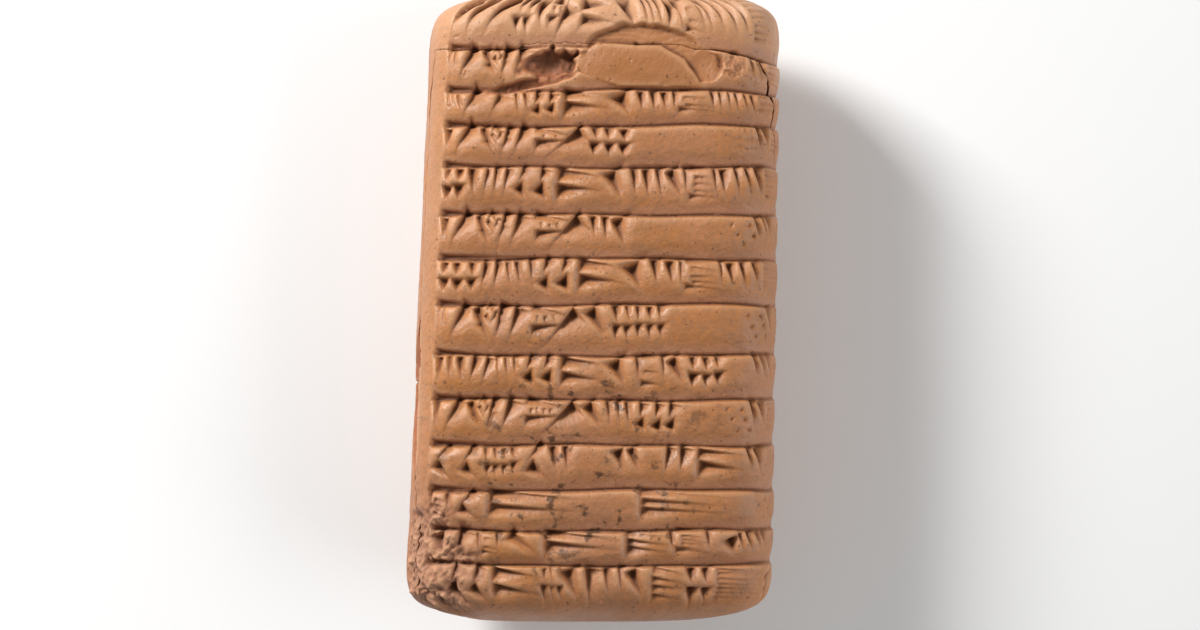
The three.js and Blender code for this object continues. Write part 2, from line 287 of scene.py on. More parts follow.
@dataclass(frozen=True)
class Cracks:
    """Where the fragments part.

    The front slab ends at a line under the first row of the obverse, and at a crack along each
    edge. A third crack runs round the reverse and parts the upper back from the lower back.

    Attributes:
        body: The plain body.
        head_line: Height of the line where the slab ends.
        last_y: Height below which the cracks keep their level.
        head_reach: How far from the head line the grid is moved to follow it.
        left_level: Level of the left crack at mid height, above the mid plane.
        right_level: Level of the right crack near the head.
        right_slope: How fast it falls from there.
        right_bend: How fast its fall grows.
        right_low: Mean level of its low stretch, under the mid plane.
        right_wave: Height of the one wave in that stretch.
        back_left: Height of the crack round the reverse where it meets the left edge.
        back_right: Its height at the right edge.
        void_top: Upper end of the gap where a splinter is missing.
        void_foot: Lower end of that gap.
        void_width: Its greatest width.
        void_reach: How far in the fracture is bent to meet the lips of that gap.
        hairline: Width of the left crack where it is closed.
        arch: How far the fracture sags, and how much more it does near the head.
    """

    body: Body
    head_line: float = 39.1
    last_y: float = -41.0
    head_reach: float = 6.0
    left_level: float = 6.8
    right_level: float = 10.9
    right_slope: float = 0.205
    right_bend: float = 0.0033
    right_low: float = 3.65
    right_wave: float = 1.25
    back_left: float = -11.6
    back_right: float = 8.8
    void_top: float = -0.5
    void_foot: float = -26.5
    void_width: float = 3.4
    void_reach: float = 6.5
    hairline: float = 0.1
    arch: tuple[float, float] = (0.3, 2.9)

    def left_height(self, y: Array) -> Array:
        """Height of the left crack: lowest at mid height, rising to both ends, with ripples."""
        rise = np.where(y > 0, 0.9 * np.abs(y / -self.last_y) ** 4, -0.035 * y)
        return self.left_level + rise + 0.2 * (np.sin(0.55 * y) + 0.6 * np.sin(1.7 * y))

    def right_height(self, y: Array) -> Array:
        """Height of the right crack: steep from the head, a step down, then one long wave.

        Args:
            y: Heights along the tablet.

        Returns:
            Heights above the mid plane.
        """
        below = 40.0 - y
        upper = self.right_level - self.right_slope * below - self.right_bend * below**2
        lower = -self.right_low - self.right_wave * np.cos(2.0 * np.pi * y / 38.0)
        return mix(lower, upper, ease(4.6, 7.6, y)) + 0.2 * np.sin(1.4 * y)

    def left_run(self, y: Array) -> Array:
        """Run of the left crack, which is negative."""
        inner = np.clip(y, self.last_y, self.head_line)
        return -self.body.run_at_height(self.left_height(inner), inner)

    def right_run(self, y: Array) -> Array:
        """Run of the right crack."""
        inner = np.clip(y, self.last_y, self.head_line)
        return self.body.run_at_height(self.right_height(inner), inner)

    def sway(self, run: Array, y: Array) -> Array:
        """How far a ruled line strays upwards from straight.

        Two slow waves over the obverse, and a droop of the first line towards the right edge.

        Args:
            run: Runs.
            y: Heights.

        Returns:
            How far, in millimetres.
        """
        run = self.body.wrapped(run)
        over_face = ease(-27.0, -22.0, run) * ease(41.0, 34.0, run)
        waves = 0.16 * np.sin(0.13 * run + 0.21 * y) + 0.09 * np.sin(0.37 * run - 0.4 * y + 1.0)
        droop = 2.1 * ease(16.0, 28.5, run) * ease(48.0, 41.0, run)
        return waves * over_face - droop * ease(30.0, 38.0, y) * ease(46.0, 41.0, y)

    def head_shift(self, run: Array, y: Array) -> Array:
        """How far the grid is moved along y so that the head crack follows the first ruled line.

        In the spall it keeps to the top of the recess and of the flake instead, and is ragged
        to the left of the flake. The shift fades out over the reach.

        Args:
            run: Runs.
            y: Heights.

        Returns:
            How far, in millimetres.
        """
        inside = self.body.wrapped(run)
        spalled = ease(-14.5, -11.5, inside) * ease(14.5, 11.5, inside)
        ragged = 0.1 * np.sin(2.9 * inside) + 0.06 * np.sin(6.1 * inside + 1.0)
        wander = 0.6 + ragged * ease(-1.0, -4.0, inside)
        near = np.maximum(1.0 - np.abs(y - self.head_line) / self.head_reach, 0.0)
        return (self.sway(run, self.head_line) + wander * spalled) * near

    def back_y(self, run: Array) -> Array:
        """Height of the crack round the reverse: an ease from edge to edge with a ripple on it.

        Args:
            run: Runs.

        Returns:
            Heights.
        """
        turn = self.body.look_up(run, "turn") / np.pi
        share = np.clip(np.where(self.body.wrapped(run) > 0, 1.0 + turn, -turn), 0.0, 1.0)
        ripple = 0.9 * np.sin(17.0 * share) * np.sin(np.pi * share)
        return mix(self.back_left, self.back_right, ease(0.1, 0.9, share)) + ripple

    def left_gap(self, y: Array) -> Array:
        """Width of the left crack: a hairline that opens near the head and near the foot."""
        head = 0.32 * ease(26.0, 30.0, y) * ease(36.5, 33.0, y)
        return self.hairline + head + 0.25 * ease(-36.0, -41.0, y) * ease(-47.5, -44.0, y)

    def right_gap(self, y: Array) -> Array:
        """Width of the right crack: it gapes near the head, and opens here and there below.

        Args:
            y: Heights.

        Returns:
            Widths.
        """
        gape = 0.25 * ease(24.0, 33.0, y) * ease(39.5, 36.0, y)
        pulse = 0.25 * np.maximum(np.sin(0.42 * y + 0.8), 0.0) ** 2
        return (0.16 + gape + pulse) * ease(-48.4, -44.0, y) + 0.05

    def void(self, y: Array) -> Array:
        """How far the back fragments stand off the slab where a splinter is missing.

        Args:
            y: Heights.

        Returns:
            Widths of the gap: two eases that meet at its widest place.
        """
        top = ease(self.void_top, -11.0, y)
        foot = ease(self.void_foot, -12.5, y)
        return self.void_width * top**0.8 * foot**0.8

    def fracture(self, y: Array, share: Array, lift: float) -> Array:
        """Points of the hidden fracture between the left and right cracks.

        The face goes straight across from crack to crack. It sags in the middle, and most near
        the head, where the slab is thin.

        Args:
            y: Heights.
            share: 0 at the left crack, 1 at the right crack.
            lift: How far the face is raised.

        Returns:
            Points of the face.
        """
        left = self.body.place(self.left_run(y), y)
        right = self.body.place(self.right_run(y), y)
        points = mix(left, right, share[..., None])
        arch = np.sqrt(np.maximum(4.0 * share * (1.0 - share), 0.0))
        closing = np.minimum(self.body.half_width(y) / self.body.mid_half_width, 1.0)
        sag = self.arch[0] + self.arch[1] * ease(18.0, 38.0, y)
        points[..., 2] += lift * closing - sag * arch * closing
        return points


# ---- Fields over the clay ----


@dataclass(frozen=True)
class Canvas:
    """An even grid over the whole skin, periodic along the run, on which relief is worked out."""

    body: Body
    step: float = 0.1

    @cached_property
    def shape(self) -> tuple[int, int]:
        """Numbers of rows and columns."""
        height, girth = 2.0 * self.body.half_height, self.body.girth
        return round(height / self.step) + 1, round(girth / self.step)

    @cached_property
    def run(self) -> Array:
        """Runs of the columns, as one row."""
        columns = self.shape[1]
        return ((np.arange(columns) / columns - 0.5) * self.body.girth)[None, :]

    @cached_property
    def y(self) -> Array:
        """Heights of the rows, as one column, foot first."""
        return np.linspace(-self.body.half_height, self.body.half_height, self.shape[0])[:, None]

    def sample(self, values: Array, run: Array, y: Array) -> Array:
        """Read a field between its grid points, blending the four nearest along both ways.

        Args:
            values: The field.
            run: Runs to read at.
            y: Heights to read at.

        Returns:
            The values there.
        """
        rows, columns = self.shape
        across = (run / self.body.girth + 0.5) % 1.0 * columns
        up = np.clip((y / self.body.half_height + 1.0) * 0.5 * (rows - 1), 0.0, rows - 1.001)
        left, low = np.floor(across).astype(int), np.floor(up).astype(int)
        share_x, share_y = across - left, up - low
        left, right = left % columns, (left + 1) % columns
        lower = mix(values[low, left], values[low, right], share_x)
        upper = mix(values[low + 1, left], values[low + 1, right], share_x)
        return mix(lower, upper, share_y)

    def noise(self, size: float, seed: int) -> Array:
        """Smooth random values from -1 to 1.

        Random values sit on a lattice that closes round the run, and are eased between points.

        Args:
            size: Distance between lattice points.
            seed: Start of the random draw.

        Returns:
            The field.
        """
        rows, columns = self.shape
        down = max(2, round(2.0 * self.body.half_height / size))
        around = max(3, round(self.body.girth / size))
        lattice = np.random.default_rng(seed).uniform(-1.0, 1.0, (down + 2, around))
        up = np.arange(rows) / (rows - 1) * down
        across = np.arange(columns) / columns * around
        low, left = np.floor(up).astype(int), np.floor(across).astype(int)
        share_y = ease(0.0, 1.0, up - low)[:, None]
        share_x = ease(0.0, 1.0, across - left)[None, :]
        right = (left + 1) % around
        lower = mix(lattice[np.ix_(low, left)], lattice[np.ix_(low, right)], share_x)
        upper = mix(lattice[np.ix_(low + 1, left)], lattice[np.ix_(low + 1, right)], share_x)
        return mix(lower, upper, share_y)

    def rough(self, size: float, seed: int, octaves: int = 3) -> Array:
        """Noise in several sizes, each half as large and half as high as the one before."""
        layers = [self.noise(size / 2**k, seed + k) / 2**k for k in range(octaves)]
        return sum(layers) / 1.6

    def blur(self, values: Array, radius: float) -> Array:
        """Smooth a field with a bell curve, by way of its Fourier transform.

        The field is mirrored past its ends, and closes on itself round the run.

        Args:
            values: The field.
            radius: Spread of the bell.

        Returns:
            The smooth field.
        """
        rows, columns = self.shape
        padded = np.concatenate([values, values[::-1]])
        rates_y = np.fft.fftfreq(2 * rows)[:, None]
        rates_x = np.fft.rfftfreq(columns)[None, :]
        spread = 2.0 * (np.pi * radius / self.step) ** 2
        bell = np.exp(-spread * (rates_x**2 + rates_y**2))
        return np.fft.irfft2(np.fft.rfft2(padded) * bell, s=padded.shape)[:rows]


# ---- The writing ----


class Motif(Enum):
    """A group of pressed strokes. None of them is a letter."""

    BLANK = auto()
    UPRIGHTS = auto()
    TIERS = auto()
    BARS = auto()
    HATCH = auto()
    FACETS = auto()
    RISING = auto()
    FALLING = auto()
    CHEVRONS = auto()
    BOX = auto()
    LOZENGE = auto()
    LENS = auto()
    STIPPLE = auto()
    DOTS = auto()
    SPIKE = auto()


Cell = tuple[Motif, float, int]


def strokes(u0: Array, v0: Array, u1: Array, v1: Array, width: Array) -> Array:
    """Stack strokes, a row for each: its head across and down, its tail likewise, its width."""
    return np.column_stack(np.broadcast_arrays(*map(np.atleast_1d, (u0, v0, u1, v1, width))))


def motif_strokes(motif: Motif, width: float, count: int) -> Array:
    """Lay out the strokes of one cell.

    Every number below is a share of the cell, but for the last of each group, which is the width
    of the head in millimetres.

    Args:
        motif: Which group.
        width: Width of the cell.
        count: How many strokes, or lines inside it.

    Returns:
        Rows as strokes() gives them.
    """
    slot = (np.arange(count) + 0.5) / max(count, 1)
    pitch = width / max(count, 1)
    if motif is Motif.UPRIGHTS:
        return strokes(slot - 0.06 / count, -0.04, slot, 0.8, min(1.25 * pitch, 3.2))
    if motif is Motif.TIERS:
        upper = strokes(slot, -0.02, slot, 0.46, min(1.25 * pitch, 2.5))
        lower = strokes(slot, 0.4, slot, 0.88, min(1.25 * pitch, 2.5))
        return np.vstack([upper, lower])
    if motif is Motif.BARS:
        return strokes(0.02, 0.04 + 0.76 * slot, 0.98, 0.06 + 0.76 * slot, min(2.9, 6.0 / count))
    if motif is Motif.HATCH:
        return strokes(0.0, 0.06 + 0.72 * slot, 1.0, 0.08 + 0.72 * slot, 0.84)
    if motif is Motif.FACETS:
        swing = 0.3 * np.where(np.arange(count) % 2, -1.0, 1.0) / count
        return strokes(slot - swing, -0.06, slot + swing, 0.94, min(1.45 * pitch, 4.4))
    if motif is Motif.RISING:
        return strokes(slot + 0.4 / count, 0.0, slot - 0.5 / count, 0.86, min(1.25 * pitch, 3.6))
    if motif is Motif.FALLING:
        return strokes(slot - 0.4 / count, 0.0, slot + 0.5 / count, 0.84, min(1.25 * pitch, 2.9))
    if motif is Motif.CHEVRONS:
        upper = strokes(slot + 0.35 / count, 0.02, slot - 0.3 / count, 0.5, 2.2)
        lower = strokes(slot - 0.3 / count, 0.44, slot + 0.4 / count, 0.9, 2.4)
        return np.vstack([upper, lower])
    if motif is Motif.BOX:
        sides = strokes([0.08, 0.92], [-0.04, -0.04], [0.08, 0.92], [0.84, 0.84], [1.7, 1.7])
        rails = strokes([0.05, 0.05], [0.08, 0.74], [0.95, 0.95], [0.08, 0.78], [1.3, 1.4])
        inner = strokes(0.2, 0.2 + 0.5 * slot, 0.85, 0.2 + 0.5 * slot, 0.95)
        return np.vstack([sides, rails, inner])
    if motif is Motif.LOZENGE:
        slope = np.linspace(0.0, 0.36, count)
        falling = strokes(0.56 + slope, slope - 0.04, 0.18 + slope, 0.38 + slope, 1.5)
        rising = strokes(0.44 - slope, slope - 0.02, 0.82 - slope, 0.4 + slope, 1.5)
        frame_lines = strokes([0.0, 1.04], [-0.06, -0.06], [0.5, 0.54], [0.94, 0.94], [2.6, 2.8])
        return np.vstack([falling, rising, frame_lines])
    if motif is Motif.LENS:
        shell = strokes([0.0, 0.0], [0.06, 0.6], [0.98, 0.98], [0.36, 0.42], [1.9, 1.9])
        ribs = strokes(0.1 + 0.42 * slot, 0.18, 0.1 + 0.42 * slot, 0.56, 1.05)
        keel = strokes([0.98], [0.26], [0.2], [0.98], [3.8])
        return np.vstack([shell, ribs, keel])
    if motif is Motif.STIPPLE:
        across, down = np.meshgrid(np.linspace(0.08, 0.92, 5), np.linspace(0.08, 0.62, count))
        return strokes(across.ravel(), down.ravel(), across.ravel() + 0.02, down.ravel() + 0.1, 0.55)
    if motif is Motif.DOTS:
        down = 0.2 + 0.5 * (np.arange(count) % 3) / 2.0
        return strokes(slot - 0.05, down, slot + 0.07, down + 0.12, 0.9)
    if motif is Motif.SPIKE:
        return strokes(0.98, 0.3 + 0.4 * slot, 0.2, 0.22 + 0.5 * slot, 3.2)
    return np.empty((0, 5))


# A stroke's crease lies nearer to its steep side, which faces the head and the left.
STEEP = 0.7
STEEP_SIDE = np.array([-STEEP, STEEP])


@dataclass(frozen=True)
class Stylus:
    """Presses wedge-shaped strokes into a field of depths.

    Attributes:
        canvas: Grid that is pressed into.
        softness: How far strokes that meet run into each other.
        lean: How far the crease lies to one side, as a share of the half width.
        breadth: Multiplier of every width.
        depth_share: Depth over width.
        deepest: Most depth.
        fullness: Power that swells the flanks.
        shortest: Least length.
        skirt: Width round the outline that is still worked on.
        apex_of_width: How far behind the head the deepest point lies, over the width.
        apex_of_length: The most it may be, over the length.
    """

    canvas: Canvas
    softness: float = 0.32
    lean: float = 0.66
    breadth: float = 1.22
    depth_share: float = 0.62
    deepest: float = 2.1
    fullness: float = 1.6
    shortest: float = 0.3
    skirt: float = 0.4
    apex_of_width: float = 0.3
    apex_of_length: float = 0.4

    def press(self, depths: Array, head: Array, tail: Array, width: float, force: float) -> None:
        """Press one stroke.

        The mark is a pyramid lying on its side: three planes fall from the outline of a slim
        triangle to a point near the head. Its depth is the least of the three, raised to a power
        above one, so that its flanks swell.

        Args:
            depths: Field to press into, changed in place.
            head: Run and y of the middle of the head.
            tail: Run and y of the tip of the tail.
            width: Width of the head.
            force: Multiplier of the depth.
        """
        canvas = self.canvas
        width = self.breadth * width
        reach = 0.6 * width + self.skirt
        low, high = np.minimum(head, tail) - reach, np.maximum(head, tail) + reach
        rows, columns = canvas.shape
        row0 = max(0, int((low[1] + canvas.body.half_height) / canvas.step))
        row1 = min(rows, int((high[1] + canvas.body.half_height) / canvas.step) + 2)
        first = int((low[0] / canvas.body.girth + 0.5) * columns)
        last = int((high[0] / canvas.body.girth + 0.5) * columns) + 2
        picked = np.arange(first, last) % columns
        run = ((np.arange(first, last) / columns - 0.5) * canvas.body.girth)[None, :]
        y = canvas.y[row0:row1]
        length = max(float(np.hypot(*(tail - head))), self.shortest)
        way = (tail - head) / length
        side = np.array([-way[1], way[0]])
        along = (run - head[0]) * way[0] + (y - head[1]) * way[1]
        across = (run - head[0]) * side[0] + (y - head[1]) * side[1]
        half = 0.5 * width
        lean = self.lean * float(side @ STEEP_SIDE) / STEEP
        apex = min(self.apex_of_width * width, self.apex_of_length * length)
        narrowing = half * (1.0 - along / length)
        at_apex = half * (1.0 - apex / length)
        crease = lean * at_apex
        planes = (
            along / apex,
            (narrowing - across) / (at_apex - crease),
            (narrowing + across) / (at_apex + crease),
        )
        least = np.minimum.reduce(planes)
        swollen = np.where(least > 0.0, np.abs(least) ** self.fullness, least)
        depth = force * min(self.depth_share * width, self.deepest) * swollen
        window = depths[row0:row1, picked]
        depths[row0:row1, picked] = soft_max(window, depth, self.softness)


@dataclass(frozen=True)
class Row:
    """One ruled row: its height and the cells written in it from left to right."""

    height: float
    cells: tuple[Cell, ...]


@dataclass(frozen=True)
class WrittenFace:
    """The rows of one face.

    Attributes:
        rows: Head first.
        start: Run at which the cells begin.
        force: Multiplier of the depth of every stroke.
        seed: Start of the random draw that varies the hand.
        turned: Whether the face is written with the tablet turned over end for end.
        reach: How far from the middle the writing goes, short of the ends of the tablet.
        filled: Share of a row's height that its cells take up.
        line_width: Width of the stroke that begins a ruled line.
        line_lengths: Least and greatest length of that stroke.
        shakes: Spread of the places of heads and of tails, and of the widths.
    """

    rows: tuple[Row, ...]
    start: float
    force: float
    seed: int
    turned: bool = False
    reach: float = 47.0
    filled: float = 0.86
    line_width: float = 1.5
    line_lengths: tuple[float, float] = (9.0, 22.0)
    shakes: tuple[float, float, float] = (0.09, 0.15, 0.09)

    def bounds(self, half_height: float) -> Array:
        """Heights of the ends of the rows, head first."""
        return half_height - np.concatenate([[0.0], np.cumsum([row.height for row in self.rows])])

    def write(self, stylus: Stylus, cracks: Cracks, depths: Array) -> int:
        """Press every stroke of the face, each a little off its place, and the ruled lines.

        A ruled line is one long stroke, deepest at the margin, that strays as the lines do.

        Args:
            stylus: What presses them.
            cracks: Where the fragments part, and how the lines stray.
            depths: Field to press into, changed in place.

        Returns:
            How many strokes were pressed.
        """
        rng = np.random.default_rng(self.seed)
        bounds = self.bounds(stylus.canvas.body.half_height)
        way = -1.0 if self.turned else 1.0
        for line in bounds[1:-1]:
            head = np.array([self.start - 0.4 * way, line + cracks.sway(self.start, line)])
            tail = np.array([self.start + way * rng.uniform(*self.line_lengths), line])
            tail[1] += cracks.sway(*tail)
            stylus.press(depths, head, tail, self.line_width, self.force)
        pressed = 0
        bounds = np.clip(bounds, -self.reach, self.reach)
        head_shake, tail_shake, width_shake = self.shakes
        for row, top, foot in zip(self.rows, bounds, bounds[1:]):
            corner = np.array([self.start, foot if self.turned else top])
            for motif, width, count in row.cells:
                marks = motif_strokes(motif, width, count)
                cell = way * np.array([width, self.filled * (foot - top)])
                for mark, shake in zip(marks, rng.normal(0.0, 1.0, marks.shape)):
                    head = corner + mark[:2] * cell + head_shake * shake[:2]
                    tail = corner + mark[2:4] * cell + tail_shake * shake[2:4]
                    head[1] += cracks.sway(*head)
                    tail[1] += cracks.sway(*tail)
                    breadth = mark[4] * (1.0 + width_shake * shake[4])
                    stylus.press(depths, head, tail, breadth, self.force)
                    pressed += 1
                corner[0] += way * width
        return pressed


M = Motif

OBVERSE = WrittenFace(
    start=-24.4,
    force=1.0,
    seed=11,
    rows=(
        Row(9.4, ((M.RISING, 5.6, 2), (M.RISING, 4.4, 1), (M.TIERS, 3.2, 2), (M.UPRIGHTS, 2.2, 1),
            (M.LENS, 4.6, 2), (M.BARS, 7.2, 2), (M.FACETS, 3.4, 1), (M.UPRIGHTS, 3.6, 3),
            (M.RISING, 2.4, 1), (M.BOX, 3.8, 2), (M.UPRIGHTS, 7.4, 4), (M.HATCH, 6.8, 7),
            (M.UPRIGHTS, 3.4, 2))),
        Row(6.4, ((M.UPRIGHTS, 2.0, 2), (M.RISING, 4.0, 1), (M.LOZENGE, 4.6, 3), (M.RISING, 3.4, 1),
            (M.BLANK, 29.6, 0), (M.STIPPLE, 3.8, 3), (M.UPRIGHTS, 3.2, 3), (M.HATCH, 6.2, 4))),
        Row(5.4, ((M.FALLING, 3.0, 3), (M.RISING, 8.0, 2), (M.UPRIGHTS, 2.6, 2), (M.CHEVRONS, 4.2, 2),
            (M.BARS, 8.4, 2), (M.FACETS, 3.6, 1), (M.UPRIGHTS, 5.6, 3), (M.BOX, 6.8, 2),
            (M.UPRIGHTS, 6.4, 5), (M.HATCH, 7.2, 3))),
        Row(6.2, ((M.UPRIGHTS, 2.0, 1), (M.RISING, 4.2, 1), (M.LOZENGE, 4.8, 3), (M.RISING, 3.0, 1),
            (M.LENS, 8.6, 2), (M.TIERS, 6.6, 3), (M.BLANK, 15.2, 0), (M.STIPPLE, 4.2, 3),
            (M.UPRIGHTS, 3.4, 2), (M.HATCH, 6.4, 5))),
        Row(7.2, ((M.TIERS, 4.2, 2), (M.UPRIGHTS, 2.6, 1), (M.RISING, 4.4, 3), (M.CHEVRONS, 6.0, 2),
            (M.BARS, 8.0, 2), (M.FACETS, 4.0, 1), (M.UPRIGHTS, 5.4, 3), (M.FALLING, 2.8, 1),
            (M.BOX, 5.4, 3), (M.UPRIGHTS, 7.6, 4), (M.HATCH, 6.4, 6), (M.UPRIGHTS, 2.8, 1))),
        Row(6.7, ((M.UPRIGHTS, 1.8, 1), (M.RISING, 4.4, 1), (M.LOZENGE, 4.8, 3), (M.RISING, 3.4, 1),
            (M.LENS, 8.8, 3), (M.UPRIGHTS, 3.6, 2), (M.FACETS, 2.8, 1), (M.BLANK, 14.6, 0),
            (M.DOTS, 4.4, 5), (M.UPRIGHTS, 4.2, 3), (M.SPIKE, 4.8, 1))),
        Row(6.9, ((M.TIERS, 6.8, 3), (M.RISING, 3.8, 2), (M.UPRIGHTS, 4.8, 3), (M.CHEVRONS, 5.6, 2),
            (M.BARS, 7.8, 2), (M.FACETS, 3.8, 1), (M.UPRIGHTS, 4.4, 2), (M.BOX, 7.0, 3),
            (M.UPRIGHTS, 6.2, 3), (M.HATCH, 6.6, 6))),
        Row(7.6, ((M.UPRIGHTS, 2.0, 2), (M.RISING, 4.4, 1), (M.LOZENGE, 4.8, 3), (M.RISING, 3.2, 1),
            (M.LENS, 8.4, 3), (M.FALLING, 4.2, 1), (M.TIERS, 8.2, 5), (M.BLANK, 11.8, 0),
            (M.DOTS, 4.6, 6), (M.UPRIGHTS, 3.2, 1), (M.HATCH, 5.6, 5))),
        Row(6.7, ((M.UPRIGHTS, 5.6, 3), (M.RISING, 4.0, 2), (M.UPRIGHTS, 3.8, 3), (M.CHEVRONS, 5.4, 2),
            (M.BARS, 7.6, 2), (M.FACETS, 4.4, 1), (M.BOX, 4.6, 1), (M.FALLING, 3.2, 1),
            (M.TIERS, 5.6, 3), (M.BLANK, 4.4, 0), (M.UPRIGHTS, 5.2, 3), (M.SPIKE, 4.4, 1))),
        Row(6.9, ((M.UPRIGHTS, 1.8, 1), (M.RISING, 4.2, 1), (M.LOZENGE, 4.6, 3), (M.RISING, 3.4, 1),
            (M.LENS, 9.0, 4), (M.FALLING, 3.4, 1), (M.UPRIGHTS, 4.4, 3), (M.CHEVRONS, 6.6, 3),
            (M.BLANK, 6.8, 0), (M.DOTS, 4.0, 6), (M.UPRIGHTS, 3.6, 2), (M.HATCH, 5.0, 5))),
        Row(6.8, ((M.CHEVRONS, 8.4, 2), (M.TIERS, 5.2, 4), (M.CHEVRONS, 4.6, 1), (M.UPRIGHTS, 3.8, 2),
            (M.BLANK, 6.0, 0), (M.FALLING, 3.8, 2), (M.BLANK, 3.2, 0), (M.RISING, 4.6, 2),
            (M.BARS, 8.0, 2), (M.UPRIGHTS, 3.6, 2), (M.BLANK, 6.0, 0))),
        Row(6.1, ((M.BOX, 3.6, 3), (M.CHEVRONS, 4.8, 1), (M.BARS, 14.6, 2), (M.BLANK, 8.0, 0),
            (M.BARS, 13.4, 3), (M.BLANK, 6.4, 0), (M.DOTS, 4.6, 3))),
        Row(5.3, ((M.FACETS, 8.0, 2), (M.BOX, 3.4, 2), (M.FALLING, 5.6, 1), (M.BARS, 12.2, 2),
            (M.BARS, 7.2, 3), (M.BOX, 6.6, 4), (M.SPIKE, 3.6, 1), (M.UPRIGHTS, 6.2, 4))),
        Row(9.4, ((M.BLANK, 3.0, 0), (M.CHEVRONS, 6.6, 2), (M.BARS, 7.8, 2), (M.TIERS, 3.6, 3),
            (M.FACETS, 5.8, 2), (M.UPRIGHTS, 3.6, 2), (M.FALLING, 3.0, 1), (M.BARS, 5.4, 4),
            (M.TIERS, 4.4, 2), (M.HATCH, 7.6, 7), (M.SPIKE, 4.2, 2))),
    ),
)

PLAIN_ROWS: tuple[tuple[Cell, ...], ...] = (
    ((M.UPRIGHTS, 6.0, 3), (M.BLANK, 4.0, 0), (M.FACETS, 6.0, 2), (M.BLANK, 14.0, 0),
     (M.BARS, 8.0, 2), (M.UPRIGHTS, 5.0, 2), (M.BLANK, 4.0, 0), (M.HATCH, 7.0, 4)),
    ((M.FALLING, 5.0, 2), (M.TIERS, 5.0, 3), (M.BLANK, 7.0, 0), (M.LENS, 9.0, 2),
     (M.BLANK, 10.0, 0), (M.FACETS, 5.0, 2), (M.UPRIGHTS, 7.0, 3), (M.DOTS, 5.0, 4)),
    ((M.BARS, 9.0, 2), (M.BLANK, 5.0, 0), (M.CHEVRONS, 6.0, 2), (M.UPRIGHTS, 5.0, 3),
     (M.BLANK, 12.0, 0), (M.BOX, 6.0, 2), (M.RISING, 5.0, 2), (M.TIERS, 6.0, 2)),
)
FULL_ROWS = 7
ENDINGS: tuple[tuple[Cell, ...], ...] = (
    ((M.BOX, 5.0, 2), (M.UPRIGHTS, 7.0, 4)),
    ((M.RISING, 5.0, 2), (M.HATCH, 7.0, 5)),
    ((M.LENS, 8.0, 3), (M.UPRIGHTS, 4.0, 2)),
)
REVERSE_HEIGHTS = (4.1, 5.8, 5.9, 5.2, 5.2, 6.6, 6.4, 9.6, 6.0, 4.6, 6.6, 18.1, 5.0, 7.9)
BLANK_ROWS = (0, 7, 11, 13)


def reverse_cells(index: int) -> tuple[Cell, ...]:
    """Give the cells of one row of the reverse: the first rows are full, and some are blank.

    Args:
        index: Number of the row, from the head.

    Returns:
        Its cells.
    """
    if index in BLANK_ROWS:
        return ()
    turn = index % len(PLAIN_ROWS)
    return PLAIN_ROWS[turn] + (ENDINGS[turn] if index < FULL_ROWS else ())


REVERSE = WrittenFace(
    start=-45.5,
    force=0.6,
    seed=23,
    turned=True,
    rows=tuple(Row(height, reverse_cells(index)) for index, height in enumerate(REVERSE_HEIGHTS)),
)


# ---- The worked surface ----


@dataclass(frozen=True)
class Flake:
    """The smooth flake with straight sides that stands in the spall of the second row.

    Attributes:
        corners: Places on the obverse, anticlockwise.
    """

    corners: tuple[tuple[float, float], ...] = (
        (-3.7, 37.7),
        (-2.8, 35.4),
        (3.2, 33.2),
        (16.4, 33.0),
        (13.4, 37.5),
        (9.8, 39.6),
        (0.2, 40.0),
    )

    def inset(self, x: Array, y: Array) -> Array:
        """Distance inside the flake: the least of the distances inside its sides.

        Args:
            x: Places across.
            y: Heights.

        Returns:
            Distances, which are negative outside.
        """
        ends = self.corners[1:] + self.corners[:1]
        inside = []
        for (x0, y0), (x1, y1) in zip(self.corners, ends):
            length = np.hypot(x1 - x0, y1 - y0)
            inside.append(((x1 - x0) * (y - y0) - (y1 - y0) * (x - x0)) / length)
        return np.minimum.reduce(inside)


@dataclass(frozen=True)
class Oval:
    """An oval on the obverse: its middle, its radii, and how far it climbs to the right."""

    x: float
    y: float
    radius_x: float
    radius_y: float
    slope: float = 0.0


SCOOP = Oval(6.9, 39.0, 8.6, 4.0)
BOWL = Oval(15.0, 36.6, 4.1, 2.9, -0.12)
BOWL_FLOOR = Oval(15.4, 36.4, 4.1, 2.9)
RECESS = Oval(-7.4, 36.7, 6.2, 2.9, 0.12)
TRAIL = Oval(-10.2, 33.7, 9.4, 1.15, 0.22)
FLAKE_DOME = Oval(5.5, 37.2, 12.5, 4.4)
CORNER = Oval(-25.6, -39.5, 8.8, 12.2)
ROUGH_PATCH = Oval(20.3, 36.7, 2.3, 2.1)
SOOTY = Oval(-4.0, -24.0, 24.0, 17.0)

# A distance that counts as far off, in millimetres or in radii.
FAR = 9.0

# Masks that a mesh carries, in the order of its attributes.
MASKS = (
    "cavity_and_shade",
    "broken",
    "soot",
    "crumbled",
    "flake",
    "crust",
    "foot_shade",
    "highlight_and_pale",
    "stain",
)


